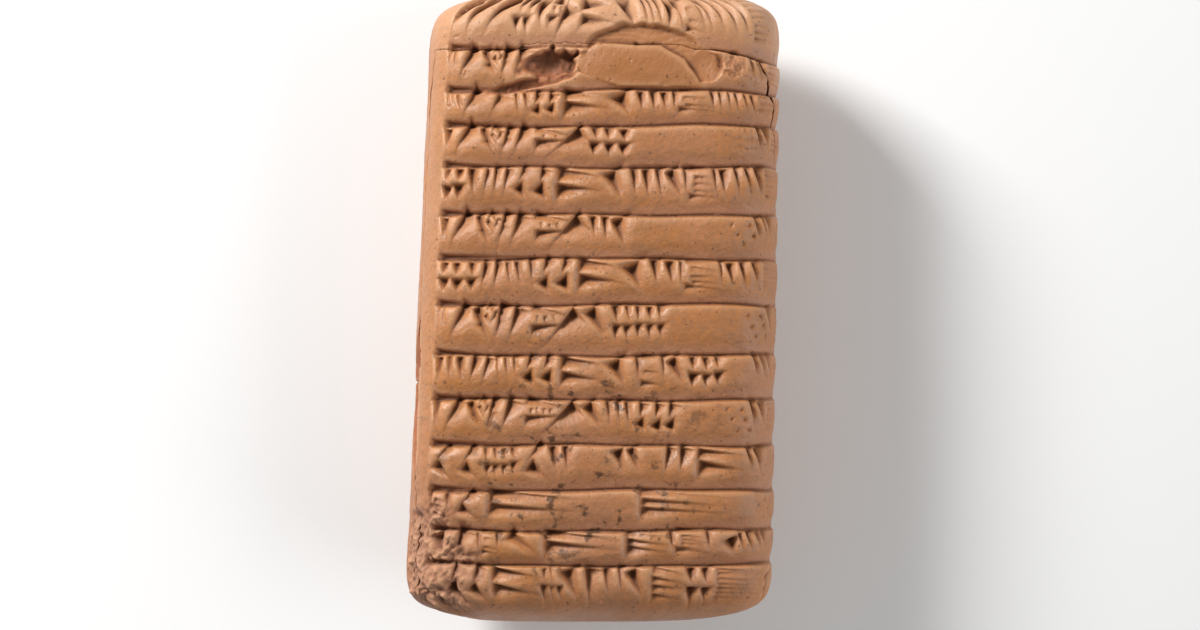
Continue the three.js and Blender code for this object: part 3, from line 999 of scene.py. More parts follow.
@dataclass
class Clay:
    """The worked skin of the tablet: its relief and what has happened to it.

    Attributes:
        canvas: Grid that the fields lie on.
        cracks: Where the fragments part.
        fields: Relief in millimetres, and masks from 0 to 1, by name.
        margin: Run of the left margin of the obverse.
        wrap_end: Run at which its rows end, over the right edge.
        cushion: Height of the crest of a row.
        rule_depth: Step from a row down to the next line.
        groove_depth: Depth of the thin groove along a line.
        groove_width: Spread of that groove.
        back_rows: Height of the rows of the reverse over those of the obverse.
        pillow_share: How much of the strokes' depth is smoothed.
        pillow_radius: Radius of that smoothing.
        press: Multiplier of the strokes' depth.
        flake: The smooth flake in the spall.
    """

    canvas: Canvas
    cracks: Cracks
    fields: dict[str, Array] = field(default_factory=dict)
    margin: float = -24.6
    wrap_end: float = 37.5
    cushion: float = 0.46
    rule_depth: float = 0.5
    groove_depth: float = 0.3
    groove_width: float = 0.17
    back_rows: float = 0.55
    pillow_share: float = 0.5
    pillow_radius: float = 0.32
    press: float = 1.25
    flake: Flake = Flake()

    @cached_property
    def x(self) -> Array:
        """Place every grid point on the plain body.

        Returns:
            The x of each.
        """
        body, run = self.canvas.body, self.canvas.run
        unit_x = np.sign(run) * body.look_up(run, "x")
        return body.centre(self.canvas.y) + body.half_width(self.canvas.y) * unit_x

    @cached_property
    def front(self) -> Array:
        """1 over the obverse and 0 over the reverse, by column."""
        return (self.canvas.body.look_up(self.canvas.run, "z") > 0.0).astype(float)

    @cached_property
    def upper_side(self) -> Array:
        """1 over the obverse, fading to 0 down the edges, by column."""
        return ease(37.0, 31.0, np.abs(self.canvas.run))

    def spot(self, oval: Oval) -> Array:
        """Distance from the middle of an oval, as a share of its radii.

        Args:
            oval: The oval.

        Returns:
            0 in the middle and 1 at the rim; far off on the reverse.
        """
        across = self.x - oval.x
        up = self.canvas.y - oval.y - oval.slope * across
        reach = np.hypot(across / oval.radius_x, up / oval.radius_y)
        return np.where(self.front > 0, reach, FAR)

    def row_profile(self, face: WrittenFace, y: Array) -> tuple[Array, Array]:
        """Rise and fall of the rows of a face along y.

        Under each line a row rises steeply to a crest about a third of the way down, then slopes
        away into the next line, which is also cut as a thin groove.

        Args:
            face: The face.
            y: Heights, less the sway of the lines.

        Returns:
            Relief, and the mask of the rows' feet, which carries painted shade.
        """
        bounds = face.bounds(self.canvas.body.half_height)
        index = np.clip(np.searchsorted(-bounds, -y, side="right") - 1, 0, len(face.rows) - 1)
        top, foot = bounds[index], bounds[index + 1]
        down = np.clip((top - y) / (top - foot), 0.0, 1.0)
        rise = np.where(index > 0, ease(0.0, 0.4, top - y), 1.0)
        fall = np.where(index < len(face.rows) - 1, ease(0.55, 1.0, down), 0.0)
        swell = self.cushion * np.sin(np.pi * down**0.55)
        line_above = np.where(index > 0, top, np.inf)
        line_below = np.where(index < len(face.rows) - 1, foot, -np.inf)
        off_line = np.minimum(line_above - y, y - line_below) / self.groove_width
        groove = self.groove_depth * np.exp(-(off_line**2))
        drop = self.rule_depth * (1.0 - rise) + (self.rule_depth - 0.05) * fall
        return swell - drop - groove, ease(0.72, 0.9, down)

    def rows(self) -> Array:
        """Rows of both faces, each kept to its own side of the edges.

        Returns:
            Relief.
        """
        canvas = self.canvas
        y = canvas.y - self.cracks.sway(canvas.run, canvas.y)
        ragged = self.wrap_end + 1.4 * canvas.noise(6.0, 3)
        front = ease(self.margin - 0.7, self.margin + 0.4, canvas.run)
        front = front * ease(ragged, ragged - 2.6, canvas.run)
        calm = 1.0 - 0.45 * ease(24.0, 31.0, canvas.run)
        back = ease(42.5, 46.0, np.abs(canvas.run) + 0.8 * canvas.noise(5.0, 4))
        relief, feet = self.row_profile(OBVERSE, y)
        back_relief, back_feet = self.row_profile(REVERSE, y)
        # Painted shade on the feet of the rows, which slope away from the light.
        self.fields["foot_shade"] = np.maximum(front * feet, 0.5 * back * back_feet)
        back_relief = back_relief - 0.3 * self.cushion
        return front * calm * relief + back * self.back_rows * back_relief

    def spall(self, height: Array) -> Array:
        """Break the spall out of the first two rows and leave the flake standing in it.

        It has a streaked scoop above the flake, a smooth bowl to its right, and to its left a
        jagged recess that trails away down into the third row.

        Args:
            height: Relief before the break.

        Returns:
            Relief after it.
        """
        canvas, y = self.canvas, self.canvas.y
        wander = 0.12 * canvas.noise(2.6, 31) + 0.06 * canvas.noise(1.0, 32)
        streaks = canvas.noise(3.0, 33) + 0.4 * np.sin(7.0 * y + 8.0 * canvas.noise(5.0, 34))
        jagged = canvas.rough(2.4, 35) + 0.5 * np.abs(canvas.noise(1.0, 36))
        scoop = ease(1.06, 0.85, self.spot(SCOOP) + 0.6 * wander)
        bowl = ease(1.05, 0.9, self.spot(BOWL) + 0.6 * wander)
        rim = 0.7 - 0.35 * ease(-9.0, -12.0, self.x)
        recess = ease(1.08, rim, self.spot(RECESS) + 2.2 * wander)
        trail = ease(1.05, 0.6, self.spot(TRAIL) + 1.4 * wander)
        sinking = 0.2 + 0.8 * ease(-13.5, -7.0, self.x)
        shelf = 0.5 + 0.5 * ease(33.6, 36.6, y - 0.1 * (self.x + 7.0))
        bowl_depth = 0.5 + 0.5 * ease(1.0, 0.0, self.spot(BOWL_FLOOR))
        spalled = np.maximum.reduce([scoop, bowl, recess, trail])
        depth = np.maximum.reduce(
            [
                scoop * (0.8 + 0.08 * streaks),
                bowl * bowl_depth,
                recess * sinking * shelf * (2.1 + 0.7 * jagged),
                trail * (1.15 + 0.4 * jagged),
            ]
        )
        inset = self.flake.inset(self.x, y) + 0.12 * canvas.noise(1.4, 37)
        left_on = ease(-0.05, 0.3, inset) * self.front
        dome = 0.5 * np.minimum(self.spot(FLAKE_DOME), 1.2) ** 2
        bevel = 0.05 * np.maximum(1.8 - self.x, 0.0) ** 1.6
        plate = 0.5 + 0.05 * canvas.noise(5.0, 38) - dome - np.minimum(bevel, 1.2)
        self.fields["broken"] = np.maximum(recess, 0.9 * trail) * (1.0 - left_on)
        # Painted shadow over the upper part of the recess, under its upper wall.
        self.fields["shade"] = recess * sinking * ease(34.4, 37.0, y) * (1.0 - left_on)
        self.fields["flake"] = np.maximum(left_on, 0.8 * np.maximum(scoop, bowl))
        self.fields["foot_shade"] *= (1.0 - left_on) * (1.0 - spalled)
        return mix(mix(height, -depth, spalled), plate, left_on)

    def break_open(self, places: Array) -> None:
        """Add places to the mask of the breaks."""
        self.fields["broken"] = np.maximum(self.fields["broken"], places)

    def crumbled(self) -> Array:
        """Loss at the crumbled lower left corner and in the rough patch of the second row.

        Returns:
            How much is gone.
        """
        canvas = self.canvas
        worn = self.spot(CORNER) + 0.2 * canvas.noise(2.6, 41)
        corner = ease(1.05, 0.5, worn) * self.upper_side
        hollows = 0.75 + 0.95 * canvas.rough(2.4, 42) + 0.5 * canvas.rough(0.8, 43)
        patch = ease(1.1, 0.7, self.spot(ROUGH_PATCH) + 0.15 * canvas.noise(1.0, 44))
        teeth = 0.35 + 0.4 * canvas.rough(0.7, 45)
        self.break_open(np.maximum(corner, 0.4 * patch))
        self.fields["crumbled"] = corner
        return corner * np.maximum(hollows, -0.1) + patch * teeth

    def crack_lips(self) -> Array:
        """Loss along the cracks: rounded lips, chips, and broken facets beside the void.

        Returns:
            How much is gone.
        """
        canvas, cracks = self.canvas, self.cracks
        y = canvas.y - cracks.head_shift(canvas.run, canvas.y)
        inner = np.clip(y, cracks.last_y, cracks.head_line)
        below = ease(cracks.head_line + 0.4, cracks.head_line - 0.2, y)
        right = np.abs(canvas.run - cracks.right_run(inner)) + FAR * (1.0 - below)
        left = np.abs(canvas.run - cracks.left_run(inner)) + FAR * (1.0 - below)
        between = (canvas.run > cracks.left_run(inner)) & (canvas.run < cracks.right_run(inner))
        head = np.where(between, np.abs(y - cracks.head_line), FAR)
        head = head + 1.5 * ease(self.margin + 1.0, self.margin - 1.0, canvas.run)
        back = np.where(between, FAR, np.abs(y - cracks.back_y(canvas.run)))
        near = np.minimum.reduce([right, left, head + 0.3, back])
        chip = ease(0.25, 0.8, canvas.rough(2.2, 51))
        loss = 0.22 * np.exp(-near / 0.22) + 0.7 * chip * np.exp(-((near / 0.8) ** 2))
        self.break_open(chip * np.exp(-near / 0.7))
        away = cracks.left_run(inner) - canvas.run
        upper = 2.6 * ease(cracks.void_top, -11.0, y)
        lower = 4.2 * ease(cracks.void_foot - 1.0, -13.0, y) ** 0.8
        width = np.where(y > cracks.back_left, upper, lower)
        width = width + cracks.void(y) + 0.25 * canvas.noise(2.5, 52)
        facet = np.where((away > -0.3) & (width > 0.4), np.maximum(width - away, 0.0), 0.0)
        self.break_open(ease(0.0, 0.2, facet))
        return loss + facet * (0.5 + 0.12 * canvas.rough(1.6, 53))

    def build(self) -> int:
        """Work out every field.

        Returns:
            How many strokes were pressed.
        """
        depths = np.zeros(self.canvas.shape)
        stylus = Stylus(self.canvas)
        pressed = sum(face.write(stylus, self.cracks, depths) for face in (OBVERSE, REVERSE))
        self.shade_hollows(self.relief(depths))
        self.darken()
        self.paint_highlight_and_pale()
        return pressed

    def relief(self, depths: Array) -> Array:
        """Put the rows, the strokes, the breaks and the wear together.

        Everything fades out just short of the ends.

        Args:
            depths: Depths of the strokes.

        Returns:
            Relief.
        """
        canvas = self.canvas
        depths = depths * ease(48.2, 47.0, np.abs(canvas.y))
        pillowed = canvas.blur(depths, self.pillow_radius)
        height = self.rows() - mix(depths, pillowed, self.pillow_share) * self.press
        height = self.spall(height) - self.crumbled() - self.crack_lips()
        height += 0.12 * canvas.noise(9.0, 61) + 0.05 * canvas.rough(3.0, 62)
        pits = ease(0.86, 0.99, canvas.noise(0.75, 63)) * ease(-0.2, 0.5, canvas.noise(8.0, 64))
        height -= 0.2 * pits
        height += 0.04 * canvas.rough(0.9, 65)
        return height * ease(48.5, 47.6, np.abs(canvas.y))

    def shade_hollows(self, height: Array) -> None:
        """Keep the relief, and as a mask how far each place lies under its surroundings, with painted
        shadow added over the upper part of the recess.

        Args:
            height: Relief. Half a mask is level ground.
        """
        self.fields["height"] = self.canvas.blur(height, 0.05)
        hollow = self.canvas.blur(height, 0.6) - self.fields["height"]
        # The cavity mask also carries the painted shadow of the recess.
        shaded = 0.5 + hollow / 0.9 + 0.4 * self.fields.pop("shade")
        self.fields["cavity_and_shade"] = np.clip(shaded, 0.0, 1.0)

    def darken(self) -> None:
        """Mark the sooty lower half, and the ochre stain along both edges."""
        canvas = self.canvas
        ragged = 0.35 * canvas.noise(9.0, 66)
        self.fields["soot"] = ease(1.25, 0.5, self.spot(SOOTY) + ragged)
        band = np.exp(-(((np.abs(canvas.run) - 36.8) / 4.6) ** 2))
        left = 0.75 + 0.8 * canvas.rough(13.0, 69)
        right = 0.5 * ease(0.0, 0.7, canvas.rough(9.0, 70))
        stain = band * np.where(canvas.run < 0.0, left, right)
        self.fields["stain"] = np.clip(stain, 0.0, 1.0)

    def paint_highlight_and_pale(self) -> None:
        """Mark painted highlight on the head and the left margin, which turn towards the light, a
        paler stretch of the left edge, and the crust on that edge.
        """
        canvas = self.canvas
        # Painted highlight on the head and the left margin, which turn towards the light.
        head = ease(30.0, 46.0, canvas.y) * ease(48.0, 34.0, np.abs(canvas.run))
        margin = ease(-22.5, -25.5, canvas.run) * ease(-38.0, -31.0, canvas.run)
        lower_side = ease(-40.5, -45.0, canvas.run) * ease(-58.0, -50.0, canvas.run)
        pale = np.maximum(head, 0.3 * margin * ease(-30.0, 10.0, canvas.y))
        pale = np.maximum(pale, 0.6 * lower_side)
        self.fields["highlight_and_pale"] = pale * (0.75 + 0.25 * canvas.noise(5.0, 68))
        side = ease(-45.5, -48.5, canvas.run) * ease(-58.0, -54.0, canvas.run)
        side = side * ease(47.0, 44.0, np.abs(canvas.y))
        self.fields["crust"] = side * ease(-0.1, 0.55, canvas.rough(6.0, 67))


# ---- Fragments ----


# The reverse is plainer, so its grid is coarser by this much.
COARSER = 1.25
# Columns over the hidden fracture of the slab and of the lower back.
SLAB_COLUMNS = 48
BACK_COLUMNS = 60
# Half the gap in the fracture, and half the gap in the head crack.
LIFT = 0.06
HEAD_GAP = 0.02
# How far in the fracture is bent to meet the lips of the right crack.
RIGHT_REACH = 3.0
SEAM_STEPS = 12


@dataclass
class RingStack:
    """A closed surface of rings, each with as many points, and a fan of triangles at each end.

    Attributes:
        points: Rings by columns by three.
        masks: Values for every point, by name, from 0 to 1.
    """

    points: Array
    masks: dict[str, Array]

    def triangles(self) -> Array:
        """Two triangles for each square of the grid, and one for each side of an end ring.

        Returns:
            Triangles by three corners.
        """
        rings, columns = self.points.shape[:2]
        a = np.arange(rings * columns).reshape(rings, columns)
        b = np.roll(a, -1, axis=1)
        lower, upper = (a[:-1], b[:-1]), (a[1:], b[1:])
        first_pole, last_pole = rings * columns, rings * columns + 1
        quads = [(lower[0], lower[1], upper[1]), (lower[0], upper[1], upper[0])]
        fans = [
            (np.full(columns, first_pole), b[0], a[0]),
            (np.full(columns, last_pole), a[-1], b[-1]),
        ]
        return np.vstack([np.stack(corners, axis=-1).reshape(-1, 3) for corners in quads + fans])

    def mesh(self, name: str) -> bpy.types.Mesh:
        """Make the mesh in metres, facing outwards, with the masks as point attributes.

        The pole of each fan is the middle of the end ring's box.

        Args:
            name: Name of the mesh.

        Returns:
            The mesh.
        """
        flat = self.points.reshape(-1, 3)
        poles = [0.5 * (ring.min(axis=0) + ring.max(axis=0)) for ring in self.points[[0, -1]]]
        vertices = np.vstack([flat, poles]) * MM
        faces = self.triangles()
        a, b, c = (vertices[faces[:, corner]] for corner in range(3))
        if np.einsum("ij,ij->i", a, np.cross(b, c)).sum() < 0.0:
            faces = faces[:, ::-1]
        mesh = bpy.data.meshes.new(name)
        mesh.vertices.add(len(vertices))
        mesh.vertices.foreach_set("co", vertices.ravel())
        mesh.loops.add(faces.size)
        mesh.loops.foreach_set("vertex_index", faces.ravel())
        mesh.polygons.add(len(faces))
        mesh.polygons.foreach_set("loop_start", np.arange(0, faces.size, 3))
        mesh.update(calc_edges=True)
        for mask, values in self.masks.items():
            layer = mesh.attributes.new(mask, "FLOAT", "POINT")
            ends = [values[0].mean(), values[-1].mean()]
            layer.data.foreach_set("value", np.concatenate([values.ravel(), ends]))
        mesh.polygons.foreach_set("use_smooth", np.ones(len(faces), bool))
        return mesh


def join(axis: int, *parts: RingStack) -> RingStack:
    """Join stacks of rings into one.

    Args:
        axis: 1 to set their columns side by side, 0 to set their rings end to end.
        parts: The stacks, in order.

    Returns:
        One stack.
    """
    points = np.concatenate([part.points for part in parts], axis)
    masks = {name: np.concatenate([part.masks[name] for part in parts], axis) for name in MASKS}
    return RingStack(points, masks)


@dataclass
class Fragment:
    """One broken piece of the tablet.

    Attributes:
        clay: Skin that it shares with the other fragments.
        name: Name of the object.
        budget: Most triangles that it may keep.
        spacing: Distance between grid lines before the mesh is thinned.
    """

    clay: Clay
    name: str
    budget: int
    spacing: float

    def heights(self, start: float, end: float) -> Array:
        """Evenly spaced heights."""
        return np.linspace(start, end, max(2, round(abs(end - start) / self.spacing) + 1))

    def end_heights(self, end: End, way: int) -> Array:
        """Heights of the rings that round an end, the pole first.

        They solve the closing formula for the height at given shares of the full width.

        Args:
            end: How the end closes in.
            way: 1 at the head, -1 at the foot.

        Returns:
            Heights.
        """
        near_pole, near_side = np.linspace(0.03, 0.6, 14), np.linspace(0.6, 0.9, 44)
        share = np.concatenate([near_pole, near_side[1:]])
        half_height = self.clay.canvas.body.half_height
        return way * half_height * (1.0 - share**end.width_root) ** (1.0 / end.width_power)

    def skin(self, run: Array, y: Array) -> RingStack:
        """Points of the worked surface, the plain body moved out by the relief, and its masks.

        The grid is shifted so that its head line lies on the head crack.

        Args:
            run: Runs.
            y: Heights.

        Returns:
            Its points and masks.
        """
        clay, body = self.clay, self.clay.canvas.body
        run, y = np.broadcast_arrays(run, y + clay.cracks.head_shift(run, y))
        fade = ease(body.half_height, body.half_height - 0.5, np.abs(y))
        relief = clay.canvas.sample(clay.fields["height"], run, y) * fade
        points = body.place(run, y) + body.outward(run, y) * relief[..., None]
        points[..., 2] = np.maximum(points[..., 2], -body.rest_depth)
        masks = {name: clay.canvas.sample(clay.fields[name], run, y) for name in MASKS}
        return RingStack(points, masks)

    def fracture(self, y: Array, share: Array, left: Array, right: Array, lift: float) -> RingStack:
        """Points of the hidden fracture, from the left crack to the right crack.

        The common fracture is moved to meet this fragment's own lips, by less and less away from
        them.

        Args:
            y: Heights.
            share: 0 at the left crack, 1 at the right crack.
            left: The fragment's lip at the left crack, ring by ring.
            right: Its lip at the right crack.
            lift: How far the face is raised off the common fracture.

        Returns:
            Its points and masks.
        """
        cracks, body = self.clay.cracks, self.clay.canvas.body
        y, share = np.broadcast_arrays(y, share)
        points = cracks.fracture(y, share, lift)
        width = 2.0 * body.mid_half_width
        left_y, right_y = y[:, [int(np.argmin(share))]], y[:, [int(np.argmax(share))]]
        left_gone = share * width / cracks.void_reach
        right_gone = (1.0 - share) * width / RIGHT_REACH
        for lip, run, row, gone in (
            (left, cracks.left_run(left_y), left_y, left_gone),
            (right, cracks.right_run(right_y), right_y, right_gone),
        ):
            step = lip[:, None, :] - body.place(run, row)
            points += step * np.maximum(1.0 - gone, 0.0)[..., None]
        blank = np.zeros(points.shape[:2])
        # Hidden fracture faces: broken clay, darkened by painted shade through the cavity mask where
        # they show in the cracks.
        masks = {name: blank for name in MASKS} | {"broken": blank + 1.0, "cavity_and_shade": blank + 0.8}
        return RingStack(points, masks)

    def rings(self) -> RingStack:
        """Work out the rings of the fragment, which each kind of fragment does its own way."""
        raise NotImplementedError

    def build(self) -> bpy.types.Object:
        """Make the object and thin its mesh to the budget, which keeps triangles at the creases.

        Returns:
            The object.
        """
        mesh = self.rings().mesh(self.name)
        piece = bpy.data.objects.new(self.name, mesh)
        bpy.context.scene.collection.objects.link(piece)
        total = len(mesh.polygons)
        if total > self.budget:
            thin = piece.modifiers.new("thin", "DECIMATE")
            thin.ratio = self.budget / total
            evaluated = piece.evaluated_get(bpy.context.evaluated_depsgraph_get())
            thinned = bpy.data.meshes.new_from_object(evaluated)
            piece.modifiers.clear()
            piece.data = thinned
            bpy.data.meshes.remove(mesh)
            thinned.name = self.name
        log.info("%s: %d triangles, thinned from %d", self.name, len(piece.data.polygons), total)
        return piece


def crowded(count: int) -> Array:
    """Shares from 0 to 1, crowded towards both ends, with the ends left out."""
    return (0.5 - 0.5 * np.cos(np.pi * np.arange(1, count + 1) / (count + 1)))[None, :]


class FrontSlab(Fragment):
    """The slab that carries all of the obverse below its first row."""

    def rings(self) -> RingStack:
        """Rings from the foot to the head line: skin from left to right, then the fracture.

        Returns:
            The rings.
        """
        body, cracks = self.clay.canvas.body, self.clay.cracks
        foot = self.end_heights(body.foot, -1)
        sides = self.heights(foot[-1], cracks.head_line - HEAD_GAP)
        y = np.concatenate([foot, sides[1:]])[:, None]
        left_run = cracks.left_run(y) + 0.5 * cracks.left_gap(y)
        right_run = cracks.right_run(y) - 0.5 * cracks.right_gap(y)
        widest = float(np.max(right_run - left_run))
        share = np.linspace(0.0, 1.0, round(widest / self.spacing))[None, :]
        run = mix(left_run, right_run, share)
        skin = self.skin(run, y)
        hidden = 1.0 - crowded(SLAB_COLUMNS)
        rows = y + cracks.head_shift(mix(left_run, right_run, hidden), y)
        lips = skin.points[:, 0], skin.points[:, -1]
        return join(1, skin, self.fracture(rows, hidden, *lips, LIFT))


class BackFragment(Fragment):
    """A fragment that carries part of the reverse."""

    def back_run(self, y: Array, share: Array) -> Array:
        """Runs from the right crack round the reverse to the left crack.

        Args:
            y: Heights.
            share: 0 at the right crack, 1 at the left crack.

        Returns:
            Runs.
        """
        cracks = self.clay.cracks
        start = cracks.right_run(y) + 0.5 * cracks.right_gap(y)
        end = self.clay.canvas.body.girth + cracks.left_run(y) - 0.5 * cracks.left_gap(y)
        return mix(start, end - cracks.void(y), share)

    def seam(self, share: Array) -> Array:
        """Heights of the crack round the reverse, found by stepping to and fro from run to y.

        Args:
            share: As for the runs.

        Returns:
            Heights.
        """
        y = np.full(share.shape, -1.0)
        for _ in range(SEAM_STEPS):
            y = mix(y, self.clay.cracks.back_y(self.back_run(y, share)), 0.8)
        return y

    def seam_gap(self, share: Array) -> Array:
        """Half the width of that crack, which opens and closes along it."""
        return 0.04 + 0.06 * np.sin(9.0 * share) ** 2


class UpperBack(BackFragment):
    """The fragment that carries the head of the tablet and the upper part of its reverse."""

    def rings(self) -> RingStack:
        """Rings from the seam to the head.

        The back columns lie on the skin all the way. The front columns lie on the fracture up to
        the head line, and there they step up to the skin of the first row.

        Returns:
            The rings.
        """
        body, cracks = self.clay.canvas.body, self.clay.cracks
        line = cracks.head_line
        span = body.girth + float(cracks.left_run(line) - cracks.right_run(line))
        share = np.linspace(0.0, 1.0, round(span / (COARSER * self.spacing)))[None, :]
        front_share = np.linspace(0.0, 1.0, round((body.girth - span) / self.spacing))[None, 1:-1]
        seam = self.seam(share) + self.seam_gap(share)
        front_seam = mix(seam[0, -1], seam[0, 0], ease(0.0, 1.0, front_share))
        count = round((line - seam.min()) / (COARSER * self.spacing))
        way = np.linspace(0.0, 1.0, count)[:, None]
        y_back, y_front = mix(seam, line, way), mix(front_seam, line, way)
        skin = self.skin(self.back_run(y_back, share), y_back)
        front_run = mix(cracks.left_run(line) - 0.1, cracks.right_run(line) + 0.1, front_share)
        rows = y_front + cracks.head_shift(front_run, y_front)
        lips = skin.points[:, -1], skin.points[:, 0]
        below = join(1, skin, self.fracture(rows, front_share, *lips, -LIFT))
        head = self.end_heights(body.head, 1)
        y = np.concatenate([self.heights(line + HEAD_GAP, head[-1]), head[::-1][1:]])[:, None]
        back = self.skin(self.back_run(np.full_like(y, line), share), y)
        return join(0, below, join(1, back, self.skin(front_run + body.girth, y)))


class LowerBack(BackFragment):
    """The fragment that carries the lower part of the reverse."""

    def rings(self) -> RingStack:
        """Rings from the foot to the seam: skin round the reverse, then the fracture.

        Returns:
            The rings.
        """
        body, cracks = self.clay.canvas.body, self.clay.cracks
        foot = self.end_heights(body.foot, -1)
        middle = -20.0
        span = body.girth + float(cracks.left_run(middle) - cracks.right_run(middle))
        share = np.linspace(0.0, 1.0, round(span / (COARSER * self.spacing)))[None, :]
        hidden = crowded(BACK_COLUMNS)
        seam = self.seam(share) - self.seam_gap(share)
        front_seam = mix(seam[0, -1], seam[0, 0], ease(0.0, 1.0, hidden))
        height = float(seam.max()) - foot[-1]
        way = np.linspace(0.0, 1.0, round(height / (COARSER * self.spacing)))[1:, None]
        rounding = np.repeat(foot[:, None], share.size, 1)
        y_back = np.vstack([rounding, mix(foot[-1], seam, way)])
        rounding = np.repeat(foot[:, None], hidden.size, 1)
        y_front = np.vstack([rounding, mix(foot[-1], front_seam, way)])
        skin = self.skin(self.back_run(y_back, share), y_back)
        lips = skin.points[:, -1], skin.points[:, 0]
        return join(1, skin, self.fracture(y_front, hidden, *lips, -LIFT))


# ---- Finishes ----


Socket = bpy.types.NodeSocket
Colour = tuple[float, float, float]
Value = Socket | float | Colour
Span = tuple[float, float]

# Ink lies to the left of this x.
LEFT_EDGE = -0.02

# Numbers of the colour sockets of a mix node, which has sockets of other kinds under the same names.
MIX_SHARE, MIX_A, MIX_B, MIX_RESULT = 0, 6, 7, 2


@dataclass(frozen=True)
class Mottle:
    """Settings of the mottling: how fine it is, and where its mask begins and is full."""

    scale: float
    low: float
    high: float


@dataclass(frozen=True)
class Specks:
    """Settings of the specks: how fine their lattice is, their radius in it and their share."""

    scale: float
    radius: float
    share: float


@dataclass(frozen=True)
class Layer:
    """A colour that is laid over others: its share where its mask is full, and its patches."""

    colour: Colour
    share: float = 1.0
    patches: Mottle | None = None


@dataclass(frozen=True)
class Graph:
    """A node tree that is put together by calls.

    Wherever a node takes a value, it may be given a constant or the output socket of another node.
    """

    tree: bpy.types.NodeTree

    def set(self, socket: Socket, value: Value) -> None:
        """Link an input to another node's output, or set its constant.

        Args:
            socket: The input.
            value: The output or the constant.
        """
        if isinstance(value, Socket):
            self.tree.links.new(value, socket)
        elif socket.type == "RGBA":
            socket.default_value = (*value, 1.0)
        else:
            socket.default_value = value

    def add(self, kind: str, inputs: dict[Any, Value], **settings: Any) -> bpy.types.Node:
        """Add one node.

        Args:
            kind: Its type.
            inputs: Values by the name or number of the input.
            settings: Its properties.

        Returns:
            The node.
        """
        node = self.tree.nodes.new(kind)
        for name, value in settings.items():
            setattr(node, name, value)
        for key, value in inputs.items():
            self.set(node.inputs[key], value)
        return node

    def math(self, operation: str, a: Value, b: Value = 0.0, clamp: bool = False) -> Socket:
        """Work on two numbers."""
        node = self.add("ShaderNodeMath", {0: a, 1: b}, operation=operation, use_clamp=clamp)
        return node.outputs[0]

    def vector(self, operation: str, a: Value, b: Value, output: str = "Vector") -> Socket:
        """Work on two vectors."""
        node = self.add("ShaderNodeVectorMath", {0: a, 1: b}, operation=operation)
        return node.outputs[output]

    def scaled(self, vector: Value, scale: Value) -> Socket:
        """Multiply a vector by a number."""
        inputs = {0: vector, "Scale": scale}
        return self.add("ShaderNodeVectorMath", inputs, operation="SCALE").outputs["Vector"]

    def noise(self, place: Socket, scale: Value, detail: float, roughness: float) -> Any:
        """Add smooth noise, with finer noises on it, and give its outputs."""
        settings = {"Vector": place, "Scale": scale, "Detail": detail, "Roughness": roughness}
        return self.add("ShaderNodeTexNoise", settings).outputs

    def range(self, value: Value, low: float, high: float, to: Span = (0.0, 1.0)) -> Socket:
        """Carry one stretch of numbers smoothly over to another.

        Args:
            value: The number.
            low: Start of the stretch.
            high: Its end.
            to: Start and end of the other.

        Returns:
            The number that it becomes.
        """
        limits = {"From Min": low, "From Max": high, "To Min": to[0], "To Max": to[1]}
        node = self.add("ShaderNodeMapRange", {"Value": value} | limits)
        node.interpolation_type = "SMOOTHSTEP"
        return node.outputs["Result"]

    def blend(self, share: Value, a: Value, b: Value) -> Socket:
        """Blend two colours.

        Args:
            share: How much of the second.
            a: The first.
            b: The second.

        Returns:
            The blend.
        """
        node = self.add("ShaderNodeMix", {}, data_type="RGBA")
        for index, value in ((MIX_SHARE, share), (MIX_A, a), (MIX_B, b)):
            self.set(node.inputs[index], value)
        return node.outputs[MIX_RESULT]

    def lay(self, under: Value, layer: Layer, mask: Value) -> Socket:
        """Lay a colour over another where a mask is."""
        return self.blend(self.math("MULTIPLY", mask, layer.share), under, layer.colour)

    def group(self, tree: bpy.types.NodeTree, inputs: dict[str, Value]) -> Socket:
        """Place a node group.

        Args:
            tree: The group.
            inputs: Values by the name of the input.

        Returns:
            Its one output.
        """
        node = self.tree.nodes.new("ShaderNodeGroup")
        node.node_tree = tree
        for name, value in inputs.items():
            self.set(node.inputs[name], value)
        return node.outputs[0]

    def attribute(self, name: str) -> Socket:
        """Read a mask that the mesh carries."""
        return self.add("ShaderNodeAttribute", {}, attribute_name=name).outputs["Fac"]


def new_group(name: str, inputs: dict[str, str], output: str) -> tuple[Graph, dict[str, Socket]]:
    """Start a shader node group with one output.

    Args:
        name: Name of the group.
        inputs: Kind of each input, Float or Vector, by name.
        output: Name of the output, a number.

    Returns:
        The group's graph, and by name its input sockets; the output socket is under the empty name.
    """
    tree = bpy.data.node_groups.new(name, "ShaderNodeTree")
    for label, kind in inputs.items():
        tree.interface.new_socket(label, in_out="INPUT", socket_type=f"NodeSocket{kind}")
    tree.interface.new_socket(output, in_out="OUTPUT", socket_type="NodeSocketFloat")
    sockets = dict(tree.nodes.new("NodeGroupInput").outputs.items())
    sockets[""] = tree.nodes.new("NodeGroupOutput").inputs[0]
    return Graph(tree), sockets


def make_mottling() -> bpy.types.NodeTree:
    """Patches: noise in four sizes, 0 under Low and 1 over High.

    Returns:
        The group.
    """
    inputs = {"Vector": "Vector", "Scale": "Float", "Low": "Float", "High": "Float"}
    graph, sockets = new_group("mottling", inputs, "Mask")
    noise = graph.noise(sockets["Vector"], sockets["Scale"], 4.0, 0.55)
    above = graph.math("SUBTRACT", noise["Fac"], sockets["Low"])
    reach = graph.math("SUBTRACT", sockets["High"], sockets["Low"])
    graph.set(sockets[""], graph.math("DIVIDE", above, reach, clamp=True))
    return graph.tree


